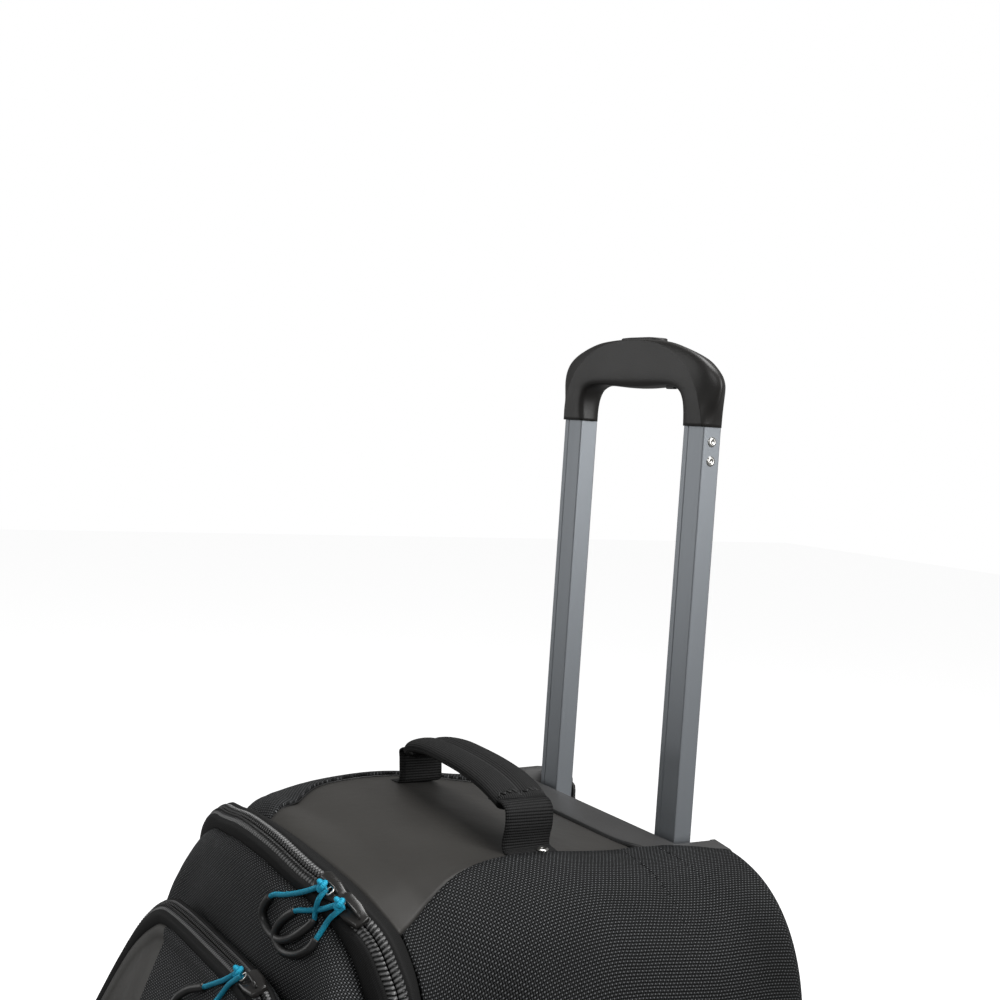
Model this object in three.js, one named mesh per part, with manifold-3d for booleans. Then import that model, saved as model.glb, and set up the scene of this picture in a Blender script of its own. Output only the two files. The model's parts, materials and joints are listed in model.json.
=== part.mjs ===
// A tall wheeled soft bag with a pull-out handle, as an assembly of separate pieces.
// Millimetres, +Z up. +Y is the back, where the wheels and the handle are, and +X is the bag's left-to-right.
// The origin is on the ground under the middle of the whole object.
import * as THREE from 'three';
import { mergeVertices } from 'three/addons/utils/BufferGeometryUtils.js';
import Module from 'manifold-3d';

const wasm = await Module();
wasm.setup();

// ---- driving dimensions -------------------------------------------------------------------------

const GAP = 0.3;                    // between pieces that touch

const BODY = { halfWidth: 200, top: 636, shoulder: 95, front: -150, back: 183.5, wall: 7 };
const TAPER = { from: 20, reach: 130, loss: 0.16 };   // the body narrows towards its front
const BASE = { bottom: 20, top: 100, front: -98, back: 190, wall: 4, frontHalfWidth: 166 };
const SEAM_X = 105;                 // where the coated top panel meets the woven sides
const ZIP_BACK = -98;               // back edge of the main zip's two rows
const ZIP_ROW = 6;                  // depth of one row of the zip
const LID_LEAN = { foot: 556, head: 660, reach: 52 }; // the front leans back towards the zip

const POCKET = { halfWidth: 124, bottom: 150, top: 566, shoulder: 70, front: -214, head: -163, slope: 0.5, wall: 7 };
const POCKET_ZIP = { front: 8, depth: 5 };            // behind the pocket's face

const TUBE_X = 75;                  // half the spacing of the handle's two tubes
const TUBE_Y = 162;
const INNER = { w: 22.7, d: 15.9, wall: 1.3, chamfer: 1.6, top: 926.7, bottom: 396 };
const OUTER = { w: 26.5, d: 19.7, wall: 1.5, chamfer: 2.2, top: 603.7, bottom: 62 };
const TRAVEL = { up: 207, down: 285 };                // from the middle lock
const BLOCK = { w: 23, d: 16.2, height: 34.7, plug: 12 };
const PIN = { r: 2.5, length: 9, bore: 3 };
const COLLAR = { w: 27.2, d: 20.4, bottom: 604, top: 616, bore: 0.25 };

const GRIP = { bottom: 927, legHalf: 86, shoulderHalf: 97, innerHalf: 61, underside: 953, top: 988.5 };
const BUTTON = { length: 48, width: 13, proud: 3.5 };
const ROD_R = 2;
const RIVET = { head: 2.8, shank: 1.6, drop: [10, 22.8] };

const TRAY = { halfWidth: 138, front: 116, back: 188, corner: 28, bottom: 604, top: 630, ridge: 147.5 };
const TRAY_END = { from: 104, drop: 12 };           // the tray's ends slope down under the side panels
const RECESS = { halfWidth: 92, front: 149.5, back: 182, floor: 612, notchHalf: 86 };

const GRAB = { y: 30, half: 92, width: 42, web: 4, leg: 9, thick: 14, padWidth: 38 };
const PAD_RISE = [[87, 15], [81, 27], [66, 34], [36, 37], [0, 38]];   // half of the pad's line: out from the middle, and up

const WHEEL = { x: 158, y: 169, r: 45, width: 32, hubR: 27, bearingR: 11, axleR: 4 };
const HOUSING = { x0: 134, x1: 188, y0: 108, y1: 200, z0: 20, z1: 99.5, clear: 4 };

// ---- small tools --------------------------------------------------------------------------------

const X = new THREE.Vector3(1, 0, 0);
const Y = new THREE.Vector3(0, 1, 0);
const Z = new THREE.Vector3(0, 0, 1);
const SIDES = [['left', -1], ['right', 1]];

function solid(geometry) {
  const g = geometry.clone();
  g.deleteAttribute('normal');
  g.deleteAttribute('uv');
  const merged = mergeVertices(g, 1e-4);
  return new wasm.Manifold(new wasm.Mesh({
    numProp: 3,
    vertProperties: new Float32Array(merged.attributes.position.array),
    triVerts: new Uint32Array(merged.index.array),
  }));
}

function geometryOf(manifold) {
  const mesh = manifold.getMesh();
  const g = new THREE.BufferGeometry();
  g.setAttribute('position', new THREE.BufferAttribute(new Float32Array(mesh.vertProperties), 3));
  g.setIndex(new THREE.BufferAttribute(new Uint32Array(mesh.triVerts), 1));
  g.computeVertexNormals();
  return g;
}

const cut = (a, ...others) => geometryOf(others.reduce((m, o) => m.subtract(solid(o)), solid(a)));
const join = (a, ...others) => geometryOf(others.reduce((m, o) => m.add(solid(o)), solid(a)));
const common = (a, ...others) => geometryOf(others.reduce((m, o) => m.intersect(solid(o)), solid(a)));

// A box between two opposite corners.
function block(x0, x1, y0, y1, z0, z1) {
  return new THREE.BoxGeometry(x1 - x0, y1 - y0, z1 - z0).translate((x0 + x1) / 2, (y0 + y1) / 2, (z0 + z1) / 2);
}

// An outline drawn in X and Z, given depth from y0 to y1.
function slabY(outline, y0, y1, steps = 1, curveSegments = 8) {
  const g = new THREE.ExtrudeGeometry(outline, { depth: y1 - y0, steps, curveSegments, bevelEnabled: false });
  return g.applyMatrix4(new THREE.Matrix4().makeBasis(X, Z, Y.clone().negate())).translate(0, y1, 0);
}

// An outline drawn in Y and Z, given length from x0 to x1.
function slabX(outline, x0, x1, curveSegments = 8) {
  const g = new THREE.ExtrudeGeometry(outline, { depth: x1 - x0, curveSegments, bevelEnabled: false });
  return g.applyMatrix4(new THREE.Matrix4().makeBasis(Y, Z, X)).translate(x0, 0, 0);
}

// An outline drawn in X and Y, given height from z0 to z1.
function slabZ(outline, z0, z1, curveSegments = 8) {
  return new THREE.ExtrudeGeometry(outline, { depth: z1 - z0, curveSegments, bevelEnabled: false }).translate(0, 0, z0);
}

function polygon(...points) {
  return new THREE.Shape(points.map(([a, b]) => new THREE.Vector2(a, b)));
}

// A rectangle with rounded corners.
function roundedRect(a0, a1, b0, b1, r) {
  const s = new THREE.Shape();
  s.moveTo(a0 + r, b0);
  s.lineTo(a1 - r, b0);
  s.absarc(a1 - r, b0 + r, r, -Math.PI / 2, 0, false);
  s.lineTo(a1, b1 - r);
  s.absarc(a1 - r, b1 - r, r, 0, Math.PI / 2, false);
  s.lineTo(a0 + r, b1);
  s.absarc(a0 + r, b1 - r, r, Math.PI / 2, Math.PI, false);
  s.lineTo(a0, b0 + r);
  s.absarc(a0 + r, b0 + r, r, Math.PI, Math.PI * 1.5, false);
  return s;
}

// An upright outline with a flat foot and two round shoulders.
function archShape(halfWidth, bottom, top, shoulder) {
  const s = new THREE.Shape();
  s.moveTo(-halfWidth, bottom);
  s.lineTo(halfWidth, bottom);
  s.lineTo(halfWidth, top - shoulder);
  s.absarc(halfWidth - shoulder, top - shoulder, shoulder, 0, Math.PI / 2, false);
  s.lineTo(shoulder - halfWidth, top);
  s.absarc(shoulder - halfWidth, top - shoulder, shoulder, Math.PI / 2, Math.PI, false);
  return s;
}

// A rectangle with cut corners, centred on a tube.
function tubeSection(width, depth, chamfer) {
  const [a, b, c] = [width / 2, depth / 2, chamfer];
  return polygon([-a + c, -b], [a - c, -b], [a, -b + c], [a, b - c], [a - c, b], [-a + c, b], [-a, b - c], [-a, -b + c]);
}

function tube(section, z0, z1, x) {
  return slabZ(section, z0, z1).translate(x, TUBE_Y, 0);
}

function cylinder(radius, length, axis, at, sides = 20) {
  const g = new THREE.CylinderGeometry(radius, radius, length, sides);
  g.applyQuaternion(new THREE.Quaternion().setFromUnitVectors(Y, axis));
  return g.translate(...at);
}

// A round bar that follows a smooth curve through points.
function bar(points, radius, sides, steps) {
  const path = new THREE.CatmullRomCurve3(points.map((p) => new THREE.Vector3(...p)));
  const ring = new THREE.Shape();
  for (let i = 0; i < sides; i++) {
    const a = (i / sides) * 2 * Math.PI;
    if (i === 0) ring.moveTo(radius * Math.cos(a), radius * Math.sin(a));
    else ring.lineTo(radius * Math.cos(a), radius * Math.sin(a));
  }
  return new THREE.ExtrudeGeometry(ring, { extrudePath: path, steps, bevelEnabled: false });
}

// ---- materials ----------------------------------------------------------------------------------

const paint = (color, roughness, metalness = 0) => new THREE.MeshStandardMaterial({ color, roughness, metalness });
const WOVEN = paint(0x35353a, 0.8);
const COATED = paint(0x3b3936, 0.5);
const ZIP = paint(0x1c1c1e, 0.4);
const MOULDING = paint(0x4c4d50, 0.45);
const BLACK_PLASTIC = paint(0x222120, 0.45);
const ANODISED = paint(0x6a7078, 0.35, 0.9);
const STEEL = paint(0xc8c8c8, 0.25, 1);
const GUNMETAL = paint(0x3a3a3c, 0.35, 0.9);
const WEBBING = paint(0x161617, 0.85);
const RUBBER = paint(0x1a1a1a, 0.9);
const CORD = paint(0x1ea0c8, 0.7);

const bag = new THREE.Group();

function add(name, geometry, material) {
  const mesh = new THREE.Mesh(geometry, material);
  mesh.name = name;
  bag.add(mesh);
  return mesh;
}

// ---- soft body and lid --------------------------------------------------------------------------

// The body's outside or, with an inset, its inside: an arch that narrows towards the front.
function bodySolid(inset, y0, y1) {
  const arch = archShape(BODY.halfWidth - inset, BASE.top + GAP + inset, BODY.top - inset, BODY.shoulder - inset);
  const g = slabY(arch, y0, y1, 6, 6);
  const p = g.attributes.position;
  for (let i = 0; i < p.count; i++) {
    const s = THREE.MathUtils.clamp((TAPER.from - p.getY(i)) / TAPER.reach, 0, 1);
    p.setX(i, p.getX(i) * (1 - TAPER.loss * s * s));
  }
  return g;
}

// The wedge of air in front of the leaning front, set back by an amount.
function frontWedge(setBack) {
  const { foot, head, reach } = LID_LEAN;
  const y = BODY.front + setBack;
  return slabX(polygon([y, foot], [y + reach, head], [y - reach, head], [y - reach, foot]), -250, 250);
}

const outside = common(bodySolid(0, BODY.front, BODY.back), block(-250, 250, -400, 400, 0, 700));
const lidSkin = solid(outside).subtract(solid(frontWedge(0)))
  .subtract(solid(bodySolid(BODY.wall, BODY.front + BODY.wall, BODY.back + 10)).subtract(solid(frontWedge(BODY.wall))));
const skin = geometryOf(lidSkin);

const trayPlan = (grow) => roundedRect(-TRAY.halfWidth - grow, TRAY.halfWidth + grow, TRAY.front - grow,
  TRAY.back + 40, TRAY.corner + grow);
const trayRoom = slabZ(trayPlan(GAP), TRAY.bottom - GAP, 700);
const openBottom = block(-250, 250, ZIP_BACK - 1, 300, 0, BASE.top + GAP + BODY.wall + 1);
const bodyWall = geometryOf(solid(common(skin, block(-250, 250, ZIP_BACK, 300, 0, 700)))
  .subtract(solid(trayRoom)).subtract(solid(openBottom)));

add('top_panel', common(bodyWall, block(-SEAM_X, SEAM_X, -300, 300, 0, 700)), COATED);
add('side_panel_left', common(bodyWall, block(-250, -SEAM_X - GAP, -300, 300, 0, 700)), WOVEN);
add('side_panel_right', common(bodyWall, block(SEAM_X + GAP, 250, -300, 300, 0, 700)), WOVEN);

const zipStart = ZIP_BACK - GAP;
const lidStart = zipStart - 2 * ZIP_ROW - GAP;
const aboveBase = BASE.top + GAP + BODY.wall + 1;
add('main_zip_body_row', common(skin, block(-250, 250, zipStart - ZIP_ROW, zipStart, aboveBase, 700)), ZIP);
add('main_zip_lid_row', common(skin, block(-250, 250, lidStart + GAP, zipStart - ZIP_ROW - GAP, aboveBase, 700)), ZIP);
add('lid_panel', common(skin, block(-250, 250, -300, lidStart, 0, 700)), WOVEN);

// ---- pocket on the lid --------------------------------------------------------------------------

// The room behind the pocket's face, which leans back above a bend, set back by an amount.
function behindFace(setBack) {
  const { bottom, top, front, head, slope } = POCKET;
  const [y, over] = [front + setBack, 40];
  return slabX(polygon([y, bottom - 10], [0, bottom - 10], [0, top + over], [head + setBack + over * slope, top + over],
    [y, top - (head - front) / slope]), -250, 250);
}

// The room in front of the lid's outside.
const lidFront = BODY.front - GAP;
const beforeLid = slabX(polygon([-300, 100], [lidFront, 100], [lidFront, LID_LEAN.foot],
  [lidFront + LID_LEAN.reach, LID_LEAN.head], [-300, LID_LEAN.head]), -250, 250);

function pocketSolid(inset) {
  const { halfWidth, bottom, top, shoulder, front } = POCKET;
  const arch = archShape(halfWidth - inset, bottom + inset, top - inset, shoulder - inset);
  return common(slabY(arch, front, BODY.front + LID_LEAN.reach), behindFace(inset));
}

const pocketSkin = common(cut(pocketSolid(0), pocketSolid(POCKET.wall)), beforeLid);
const zipBackPlane = POCKET_ZIP.front + POCKET_ZIP.depth;
const aboveFlapHinge = block(-250, 250, -300, 0, POCKET.bottom + POCKET.wall + 1, 700);
add('pocket_gusset', common(pocketSkin, behindFace(zipBackPlane + GAP)), WOVEN);
add('pocket_zip', cut(common(pocketSkin, behindFace(POCKET_ZIP.front), aboveFlapHinge), behindFace(zipBackPlane)), ZIP);
add('pocket_front', cut(pocketSkin, behindFace(POCKET_ZIP.front - GAP)), WOVEN);

// ---- moulded base, feet and back ----------------------------------------------------------------

function basePlan(inset) {
  const [w, f] = [BODY.halfWidth - 2 - inset, BASE.frontHalfWidth - inset];
  const [y0, y1] = [BASE.front + inset, BASE.back - inset];
  return polygon([-f + 24, y0], [f - 24, y0], [f - 6, y0 + 6], [f, y0 + 24], [w, TAPER.from], [w, y1 - 16],
    [w - 16, y1], [16 - w, y1], [-w, y1 - 16], [-w, TAPER.from], [-f, y0 + 24], [-f + 6, y0 + 6]);
}

const housingRoom = (side) => {
  const [a, b] = [side * (HOUSING.x0 - GAP), side * 260];
  return block(Math.min(a, b), Math.max(a, b), HOUSING.y0 - GAP, 260, -10, 140);
};

add('base_tub', geometryOf(solid(slabZ(basePlan(0), BASE.bottom, BASE.top))
  .subtract(solid(slabZ(basePlan(BASE.wall), BASE.bottom + BASE.wall, BASE.top + 1)))
  .subtract(solid(housingRoom(-1))).subtract(solid(housingRoom(1)))), BLACK_PLASTIC);

for (const [side, s] of SIDES) {
  const [near, far] = [s * 92, s * 142];
  add(`foot_${side}`, slabZ(roundedRect(Math.min(near, far), Math.max(near, far), -88, -58, 8), 0, BASE.bottom - GAP, 4),
    RUBBER);
}

const panelBack = BODY.back + GAP + 8;
add('back_panel', cut(slabY(archShape(BODY.halfWidth - 6, BASE.top + GAP, BODY.top - 6, BODY.shoulder - 6),
  BODY.back + GAP, panelBack), slabZ(trayPlan(GAP), TRAY.bottom - GAP, 700)), WOVEN);
add('back_board', slabY(archShape(BODY.halfWidth - 12, BASE.top + 2, 598, 60), 141, 145), BLACK_PLASTIC);
for (const [side, s] of SIDES) {
  add(`skid_rail_${side}`, slabY(roundedRect(s * 125 - 9, s * 125 + 9, 125, 560, 8), panelBack + GAP, panelBack + GAP + 6, 1, 3),
    BLACK_PLASTIC);
}

// ---- wheels -------------------------------------------------------------------------------------

function latheX(profile, x, segments) {
  const g = new THREE.LatheGeometry(profile.map(([r, a]) => new THREE.Vector2(r, a)), segments);
  g.applyMatrix4(new THREE.Matrix4().makeBasis(Z, X, Y));
  return g.translate(x, WHEEL.y, WHEEL.r);
}

// A ring between two radii with a rounded outer edge, closed on itself.
function ring(inner, outer, width, round) {
  const h = width / 2;
  return [[inner, -h], [outer - round, -h], [outer - round * 0.3, -h + round * 0.3], [outer, -h + round],
    [outer, h - round], [outer - round * 0.3, h - round * 0.3], [outer - round, h], [inner, h], [inner, -h]];
}

for (const [side, s] of SIDES) {
  const x = s * WHEEL.x;
  add(`wheel_tyre_${side}`, latheX(ring(WHEEL.hubR + GAP, WHEEL.r, WHEEL.width, 7), x, 24), RUBBER);
  add(`wheel_hub_${side}`, latheX(ring(WHEEL.bearingR + GAP, WHEEL.hubR, WHEEL.width - 4, 2), x, 16), MOULDING);
  add(`wheel_bearing_${side}`, latheX(ring(WHEEL.axleR + GAP, WHEEL.bearingR, 14, 0.6), x, 12), STEEL);
  const axleLength = HOUSING.x1 - HOUSING.x0 + 2;
  const axleAt = [s * (HOUSING.x0 + HOUSING.x1) / 2, WHEEL.y, WHEEL.r];
  add(`wheel_axle_${side}`, cylinder(WHEEL.axleR, axleLength, X, axleAt, 16), STEEL);
  const [a, b] = [s * HOUSING.x0, s * HOUSING.x1];
  const housing = block(Math.min(a, b), Math.max(a, b), HOUSING.y0, HOUSING.y1, HOUSING.z0, HOUSING.z1);
  const room = cylinder(WHEEL.r + HOUSING.clear, WHEEL.width + 8, X, [x, WHEEL.y, WHEEL.r], 24);
  const hole = cylinder(WHEEL.axleR + GAP, 100, X, axleAt, 16);
  add(`wheel_housing_${side}`, cut(housing, room, hole), BLACK_PLASTIC);
}

// ---- handle housing at the top back -------------------------------------------------------------

const trayBody = slabZ(roundedRect(-TRAY.halfWidth, TRAY.halfWidth, TRAY.front, TRAY.back, TRAY.corner), TRAY.bottom, TRAY.top, 6);
const trayRamp = slabX(polygon([TRAY.front - 1, TRAY.top - 3], [TRAY.ridge, TRAY.top], [TRAY.front - 1, TRAY.top + 1]), -200, 200);
const trayEnds = SIDES.map(([, s]) => slabY(polygon([s * TRAY_END.from, TRAY.top], [s * TRAY_END.from, TRAY.top + 1],
  [s * (TRAY.halfWidth + 1), TRAY.top + 1], [s * (TRAY.halfWidth + 1), TRAY.top - TRAY_END.drop]), TRAY.front - 1, TRAY.back + 1));
const recess = slabZ(roundedRect(-RECESS.halfWidth, RECESS.halfWidth, RECESS.front, RECESS.back, 8), RECESS.floor, 700, 4);
const notch = block(-RECESS.notchHalf, RECESS.notchHalf, RECESS.back - 8, 200, RECESS.floor, 700);
const collarHoles = SIDES.map(([, s]) => tube(tubeSection(COLLAR.w + 0.6, COLLAR.d + 0.6, 2.4), 500, 700, s * TUBE_X));
add('trim_tray', cut(trayBody, trayRamp, ...trayEnds, recess, notch, ...collarHoles), MOULDING);

// ---- pull-out handle ----------------------------------------------------------------------------

const pinHeights = [0, TRAVEL.up, -TRAVEL.down].map((dz) => INNER.bottom - GAP - BLOCK.height / 2 + dz);

// A square pipe: a section with a smaller one taken out of it.
function pipe(size, wall, z0, z1, x) {
  const section = tubeSection(size.w, size.d, size.chamfer);
  section.holes.push(tubeSection(size.w - 2 * wall, size.d - 2 * wall, size.chamfer * 0.7));
  return tube(section, z0, z1, x);
}

for (const [side, s] of SIDES) {
  const x = s * TUBE_X;
  const faceX = x + s * INNER.w / 2;
  const pinHoles = pinHeights.map((z) => cylinder(PIN.bore, 8, X, [x + s * OUTER.w / 2, TUBE_Y, z], 12));
  add(`outer_tube_${side}`, cut(pipe(OUTER, OUTER.wall, OUTER.bottom, OUTER.top, x), ...pinHoles), ANODISED);

  const collar = tubeSection(COLLAR.w, COLLAR.d, 2.2);
  collar.holes.push(tubeSection(INNER.w + 2 * COLLAR.bore, INNER.d + 2 * COLLAR.bore, INNER.chamfer));
  add(`tube_collar_${side}`, tube(collar, COLLAR.bottom, COLLAR.top, x), BLACK_PLASTIC);

  add(`tube_foot_${side}`, join(tube(tubeSection(34, 26, 3), BASE.bottom + BASE.wall + GAP, OUTER.bottom - GAP, x),
    tube(tubeSection(OUTER.w - 2 * OUTER.wall - 0.8, OUTER.d - 2 * OUTER.wall - 0.8, 1.4), OUTER.bottom - 1, OUTER.bottom + 10, x)),
  BLACK_PLASTIC);

  const rivetHeights = RIVET.drop.map((d) => GRIP.bottom - d);
  const rivetHoles = rivetHeights.map((z) => cylinder(RIVET.shank + GAP, 6, X, [faceX, TUBE_Y, z], 10));
  add(`inner_tube_${side}`, cut(pipe(INNER, INNER.wall, INNER.bottom, INNER.top, x), ...rivetHoles), ANODISED);

  rivetHeights.forEach((z, i) => {
    const head = cylinder(RIVET.head, 1.2, X, [faceX + s * (GAP + 0.6), TUBE_Y, z], 14);
    const shank = cylinder(RIVET.shank, 2.2, X, [faceX - s * 0.5, TUBE_Y, z], 10);
    add(`rivet_${side}_${i === 0 ? 'upper' : 'lower'}`, join(head, shank), STEEL);
  });

  const blockTop = INNER.bottom - GAP;
  const runner = tube(tubeSection(BLOCK.w, BLOCK.d, 1.6), blockTop - BLOCK.height, blockTop, x);
  const plug = tube(tubeSection(INNER.w - 2 * INNER.wall - 0.8, INNER.d - 2 * INNER.wall - 0.8, 0.8), blockTop - 1, blockTop + BLOCK.plug, x);
  const pinX = x + s * (BLOCK.w / 2 - PIN.length / 2 - 0.4);
  const pinRoom = cylinder(PIN.r + GAP, PIN.length + 8, X, [pinX + s * 3, TUBE_Y, pinHeights[0]], 12);
  add(`slider_block_${side}`, cut(join(runner, plug), pinRoom), BLACK_PLASTIC);
  add(`lock_pin_${side}`, cylinder(PIN.r, PIN.length, X, [pinX, TUBE_Y, pinHeights[0]], 12), STEEL);
}

// The grip is where its front outline and its side outline meet.
function gripFront() {
  const { bottom, legHalf, shoulderHalf, innerHalf, underside, top } = GRIP;
  const s = new THREE.Shape();
  s.moveTo(legHalf, bottom);
  s.bezierCurveTo(legHalf + 3, bottom + 15, shoulderHalf, bottom + 28, shoulderHalf, bottom + 36);
  s.bezierCurveTo(shoulderHalf, top - 8, 82, top - 1, 48, top);
  s.lineTo(-48, top);
  s.bezierCurveTo(-82, top - 1, -shoulderHalf, top - 8, -shoulderHalf, bottom + 36);
  s.bezierCurveTo(-shoulderHalf, bottom + 28, -legHalf - 3, bottom + 15, -legHalf, bottom);
  s.lineTo(-innerHalf, bottom);
  s.bezierCurveTo(-innerHalf, underside - 6, -innerHalf + 6, underside, -innerHalf + 18, underside);
  s.lineTo(innerHalf - 18, underside);
  s.bezierCurveTo(innerHalf - 6, underside, innerHalf, underside - 6, innerHalf, bottom);
  return s;
}

function gripSide() {
  const { bottom, top } = GRIP;
  const [front, back] = [TUBE_Y - 13, TUBE_Y + 23];
  const s = new THREE.Shape();
  s.moveTo(TUBE_Y - 10, bottom);
  s.lineTo(TUBE_Y + 10, bottom);
  s.bezierCurveTo(TUBE_Y + 12, bottom + 12, back, bottom + 22, back, bottom + 38);
  s.bezierCurveTo(back, top - 6, back - 8, top, back - 14, top + 0.5);
  s.lineTo(front + 10, top + 0.5);
  s.bezierCurveTo(front + 3, top, front, top - 5, front, top - 12);
  s.lineTo(front, bottom + 30);
  s.bezierCurveTo(front, bottom + 16, TUBE_Y - 10, bottom + 12, TUBE_Y - 10, bottom);
  return s;
}

const buttonTop = GRIP.top + BUTTON.proud;
const yoke = { half: TUBE_X + 4, bottom: GRIP.underside + 10, top: GRIP.underside + 17, halfDepth: 3 };
const halfB = BUTTON.length / 2;
const tangs = SIDES.map(([, s]) => tube(tubeSection(INNER.w - 2 * INNER.wall - 0.8, INNER.d - 2 * INNER.wall - 0.8, 0.8),
  GRIP.bottom - 38, GRIP.bottom + 1, s * TUBE_X));
const rodRooms = SIDES.map(([, s]) => cylinder(ROD_R + 1, 90, Z, [s * TUBE_X, TUBE_Y, GRIP.bottom], 12));
const rivetRooms = SIDES.flatMap(([, s]) => RIVET.drop.map((d) => cylinder(RIVET.shank + GAP, 3, X,
  [s * (TUBE_X + INNER.w / 2 - 1.4), TUBE_Y, GRIP.bottom - d], 10)));
const yokeRoom = block(-yoke.half - 2, yoke.half + 2, TUBE_Y - 5, TUBE_Y + 5, yoke.bottom - 5, yoke.top + 2);
const buttonRoom = slabZ(roundedRect(-halfB - 0.5, halfB + 0.5, TUBE_Y - BUTTON.width / 2 - 0.5, TUBE_Y + BUTTON.width / 2 + 0.5, 6),
  yoke.top - 1, 1100, 5);
const gripBody = common(slabY(gripFront(), TUBE_Y - 40, TUBE_Y + 40, 1, 5), slabX(gripSide(), -120, 120, 4));
add('grip_moulding', cut(join(gripBody, ...tangs), yokeRoom, buttonRoom, ...rodRooms, ...rivetRooms), BLACK_PLASTIC);

add('grip_button', join(
  slabZ(roundedRect(-halfB, halfB, TUBE_Y - BUTTON.width / 2, TUBE_Y + BUTTON.width / 2, 6), GRIP.top - 5, buttonTop, 5),
  block(-6, 6, TUBE_Y - 3, TUBE_Y + 3, yoke.top + GAP, GRIP.top - 4)), BLACK_PLASTIC);
add('release_yoke', block(-yoke.half, yoke.half, TUBE_Y - yoke.halfDepth, TUBE_Y + yoke.halfDepth, yoke.bottom, yoke.top), BLACK_PLASTIC);
for (const [side, s] of SIDES) {
  const [z0, z1] = [INNER.bottom + BLOCK.plug + 4, yoke.bottom - GAP];
  add(`push_rod_${side}`, cylinder(ROD_R, z1 - z0, Z, [s * TUBE_X, TUBE_Y, (z0 + z1) / 2], 10), STEEL);
}

// ---- grab handle on the top ---------------------------------------------------------------------

const grabBase = BODY.top + GAP;
const padLine = [...PAD_RISE.map(([x, h]) => [-x, h]), ...PAD_RISE.slice(0, -1).reverse()];
const pad = bar(padLine.map(([x, h]) => [x, GRAB.y, grabBase + h]), GRAB.thick / 2, 10, 14);
pad.translate(0, -GRAB.y, 0).scale(1, GRAB.padWidth / GRAB.thick, 1).translate(0, GRAB.y, 0);
add('grab_handle_pad', pad, WEBBING);
for (const [side, s] of SIDES) {
  const leg = block(-GRAB.web / 2, GRAB.web / 2, GRAB.y - GRAB.width / 2, GRAB.y + GRAB.width / 2, grabBase, grabBase + GRAB.leg);
  add(`grab_handle_leg_${side}`, leg.translate(s * GRAB.half, 0, 0), WEBBING);
}

// ---- zip sliders and their pull cords -----------------------------------------------------------

// A slider lies on the zip where the zip's outline has the given direction, and a little proud of it.
function slider(width, length, height, at, angle) {
  const g = join(block(-length / 2, length / 2, -width / 2, width / 2, 0, height * 0.55),
    block(-length * 0.28, length * 0.28, -2, 2, height * 0.5, height));
  return g.applyMatrix4(new THREE.Matrix4().makeRotationY(angle)).translate(...at);
}

add('main_slider_upper', slider(13, 22, 9, [104, zipStart - ZIP_ROW, 636.2], 0.21), GUNMETAL);
add('main_slider_lower', slider(13, 22, 9, [129, zipStart - ZIP_ROW, 626], 0.58), GUNMETAL);
add('pocket_slider', slider(12, 20, 8, [68, POCKET.head + 10.5, POCKET.top + 0.2], 0), GUNMETAL);

// A pull: two legs of cord that meet at the slider's eye, and a tube bent round below them that holds their ends.
function pull(name, eye, left, right, ...low) {
  const half = (p, q) => [0, 1, 2].map((k) => (p[k] + q[k]) / 2);
  const mouth = (p) => {
    const away = new THREE.Vector3(...p).sub(new THREE.Vector3(...eye)).setLength(2.2);
    return [p[0] + away.x, p[1] + away.y, p[2] + away.z];
  };
  add(`${name}_cord`, bar([left, half(left, eye), eye, half(right, eye), right], 1.7, 8, 16), CORD);
  add(`${name}_grip_tube`, bar([mouth(left), ...low, mouth(right)], 2.8, 8, 14), BLACK_PLASTIC);
}

pull('main_pull_upper', [80, -122, 631], [23, -131, 607], [76, -128, 610], [18, -136, 594], [40, -142, 586], [64, -138, 592]);
pull('main_pull_lower', [108, -122, 628], [66, -138, 611], [102, -133, 603], [58, -144, 596], [72, -148, 588], [90, -144, 591]);
pull('pocket_pull', [57, -162, 571], [28, -173.5, 553], [54, -174.5, 551], [8, -181, 542], [6, -188, 528], [30, -190, 523],
  [50, -186, 531]);

export default bag;
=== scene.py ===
import json
import math
import bpy
import bmesh
import numpy as np
from mathutils import Matrix, Vector
from mathutils.bvhtree import BVHTree

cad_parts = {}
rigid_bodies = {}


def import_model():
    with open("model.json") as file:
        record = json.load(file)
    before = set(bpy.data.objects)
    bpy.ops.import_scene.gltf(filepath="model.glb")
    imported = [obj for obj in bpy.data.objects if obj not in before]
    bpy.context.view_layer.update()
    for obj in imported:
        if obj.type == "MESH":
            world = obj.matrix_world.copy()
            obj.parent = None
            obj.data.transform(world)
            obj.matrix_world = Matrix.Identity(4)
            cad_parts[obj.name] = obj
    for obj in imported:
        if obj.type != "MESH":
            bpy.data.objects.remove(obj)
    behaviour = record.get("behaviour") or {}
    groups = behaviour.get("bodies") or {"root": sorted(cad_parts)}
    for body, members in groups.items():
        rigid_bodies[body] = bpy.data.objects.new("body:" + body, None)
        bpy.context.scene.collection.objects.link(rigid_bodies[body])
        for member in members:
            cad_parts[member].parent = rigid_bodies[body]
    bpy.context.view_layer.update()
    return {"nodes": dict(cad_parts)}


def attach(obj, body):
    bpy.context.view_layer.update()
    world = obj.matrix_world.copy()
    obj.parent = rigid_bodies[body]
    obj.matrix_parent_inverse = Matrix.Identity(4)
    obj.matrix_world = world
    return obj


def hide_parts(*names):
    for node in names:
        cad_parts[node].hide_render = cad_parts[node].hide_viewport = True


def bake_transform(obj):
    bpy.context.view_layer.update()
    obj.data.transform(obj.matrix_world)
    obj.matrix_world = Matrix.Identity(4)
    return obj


# A soft-sided rolling bag with a pull-out handle. Lengths are in millimetres until mesh_object makes metres
# of them. x runs across the bag, y from its front to its back, and z up from the floor.

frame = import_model()
MM = 0.001
SIDES = (("left", -1), ("right", 1))

# ---- small tools


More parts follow.
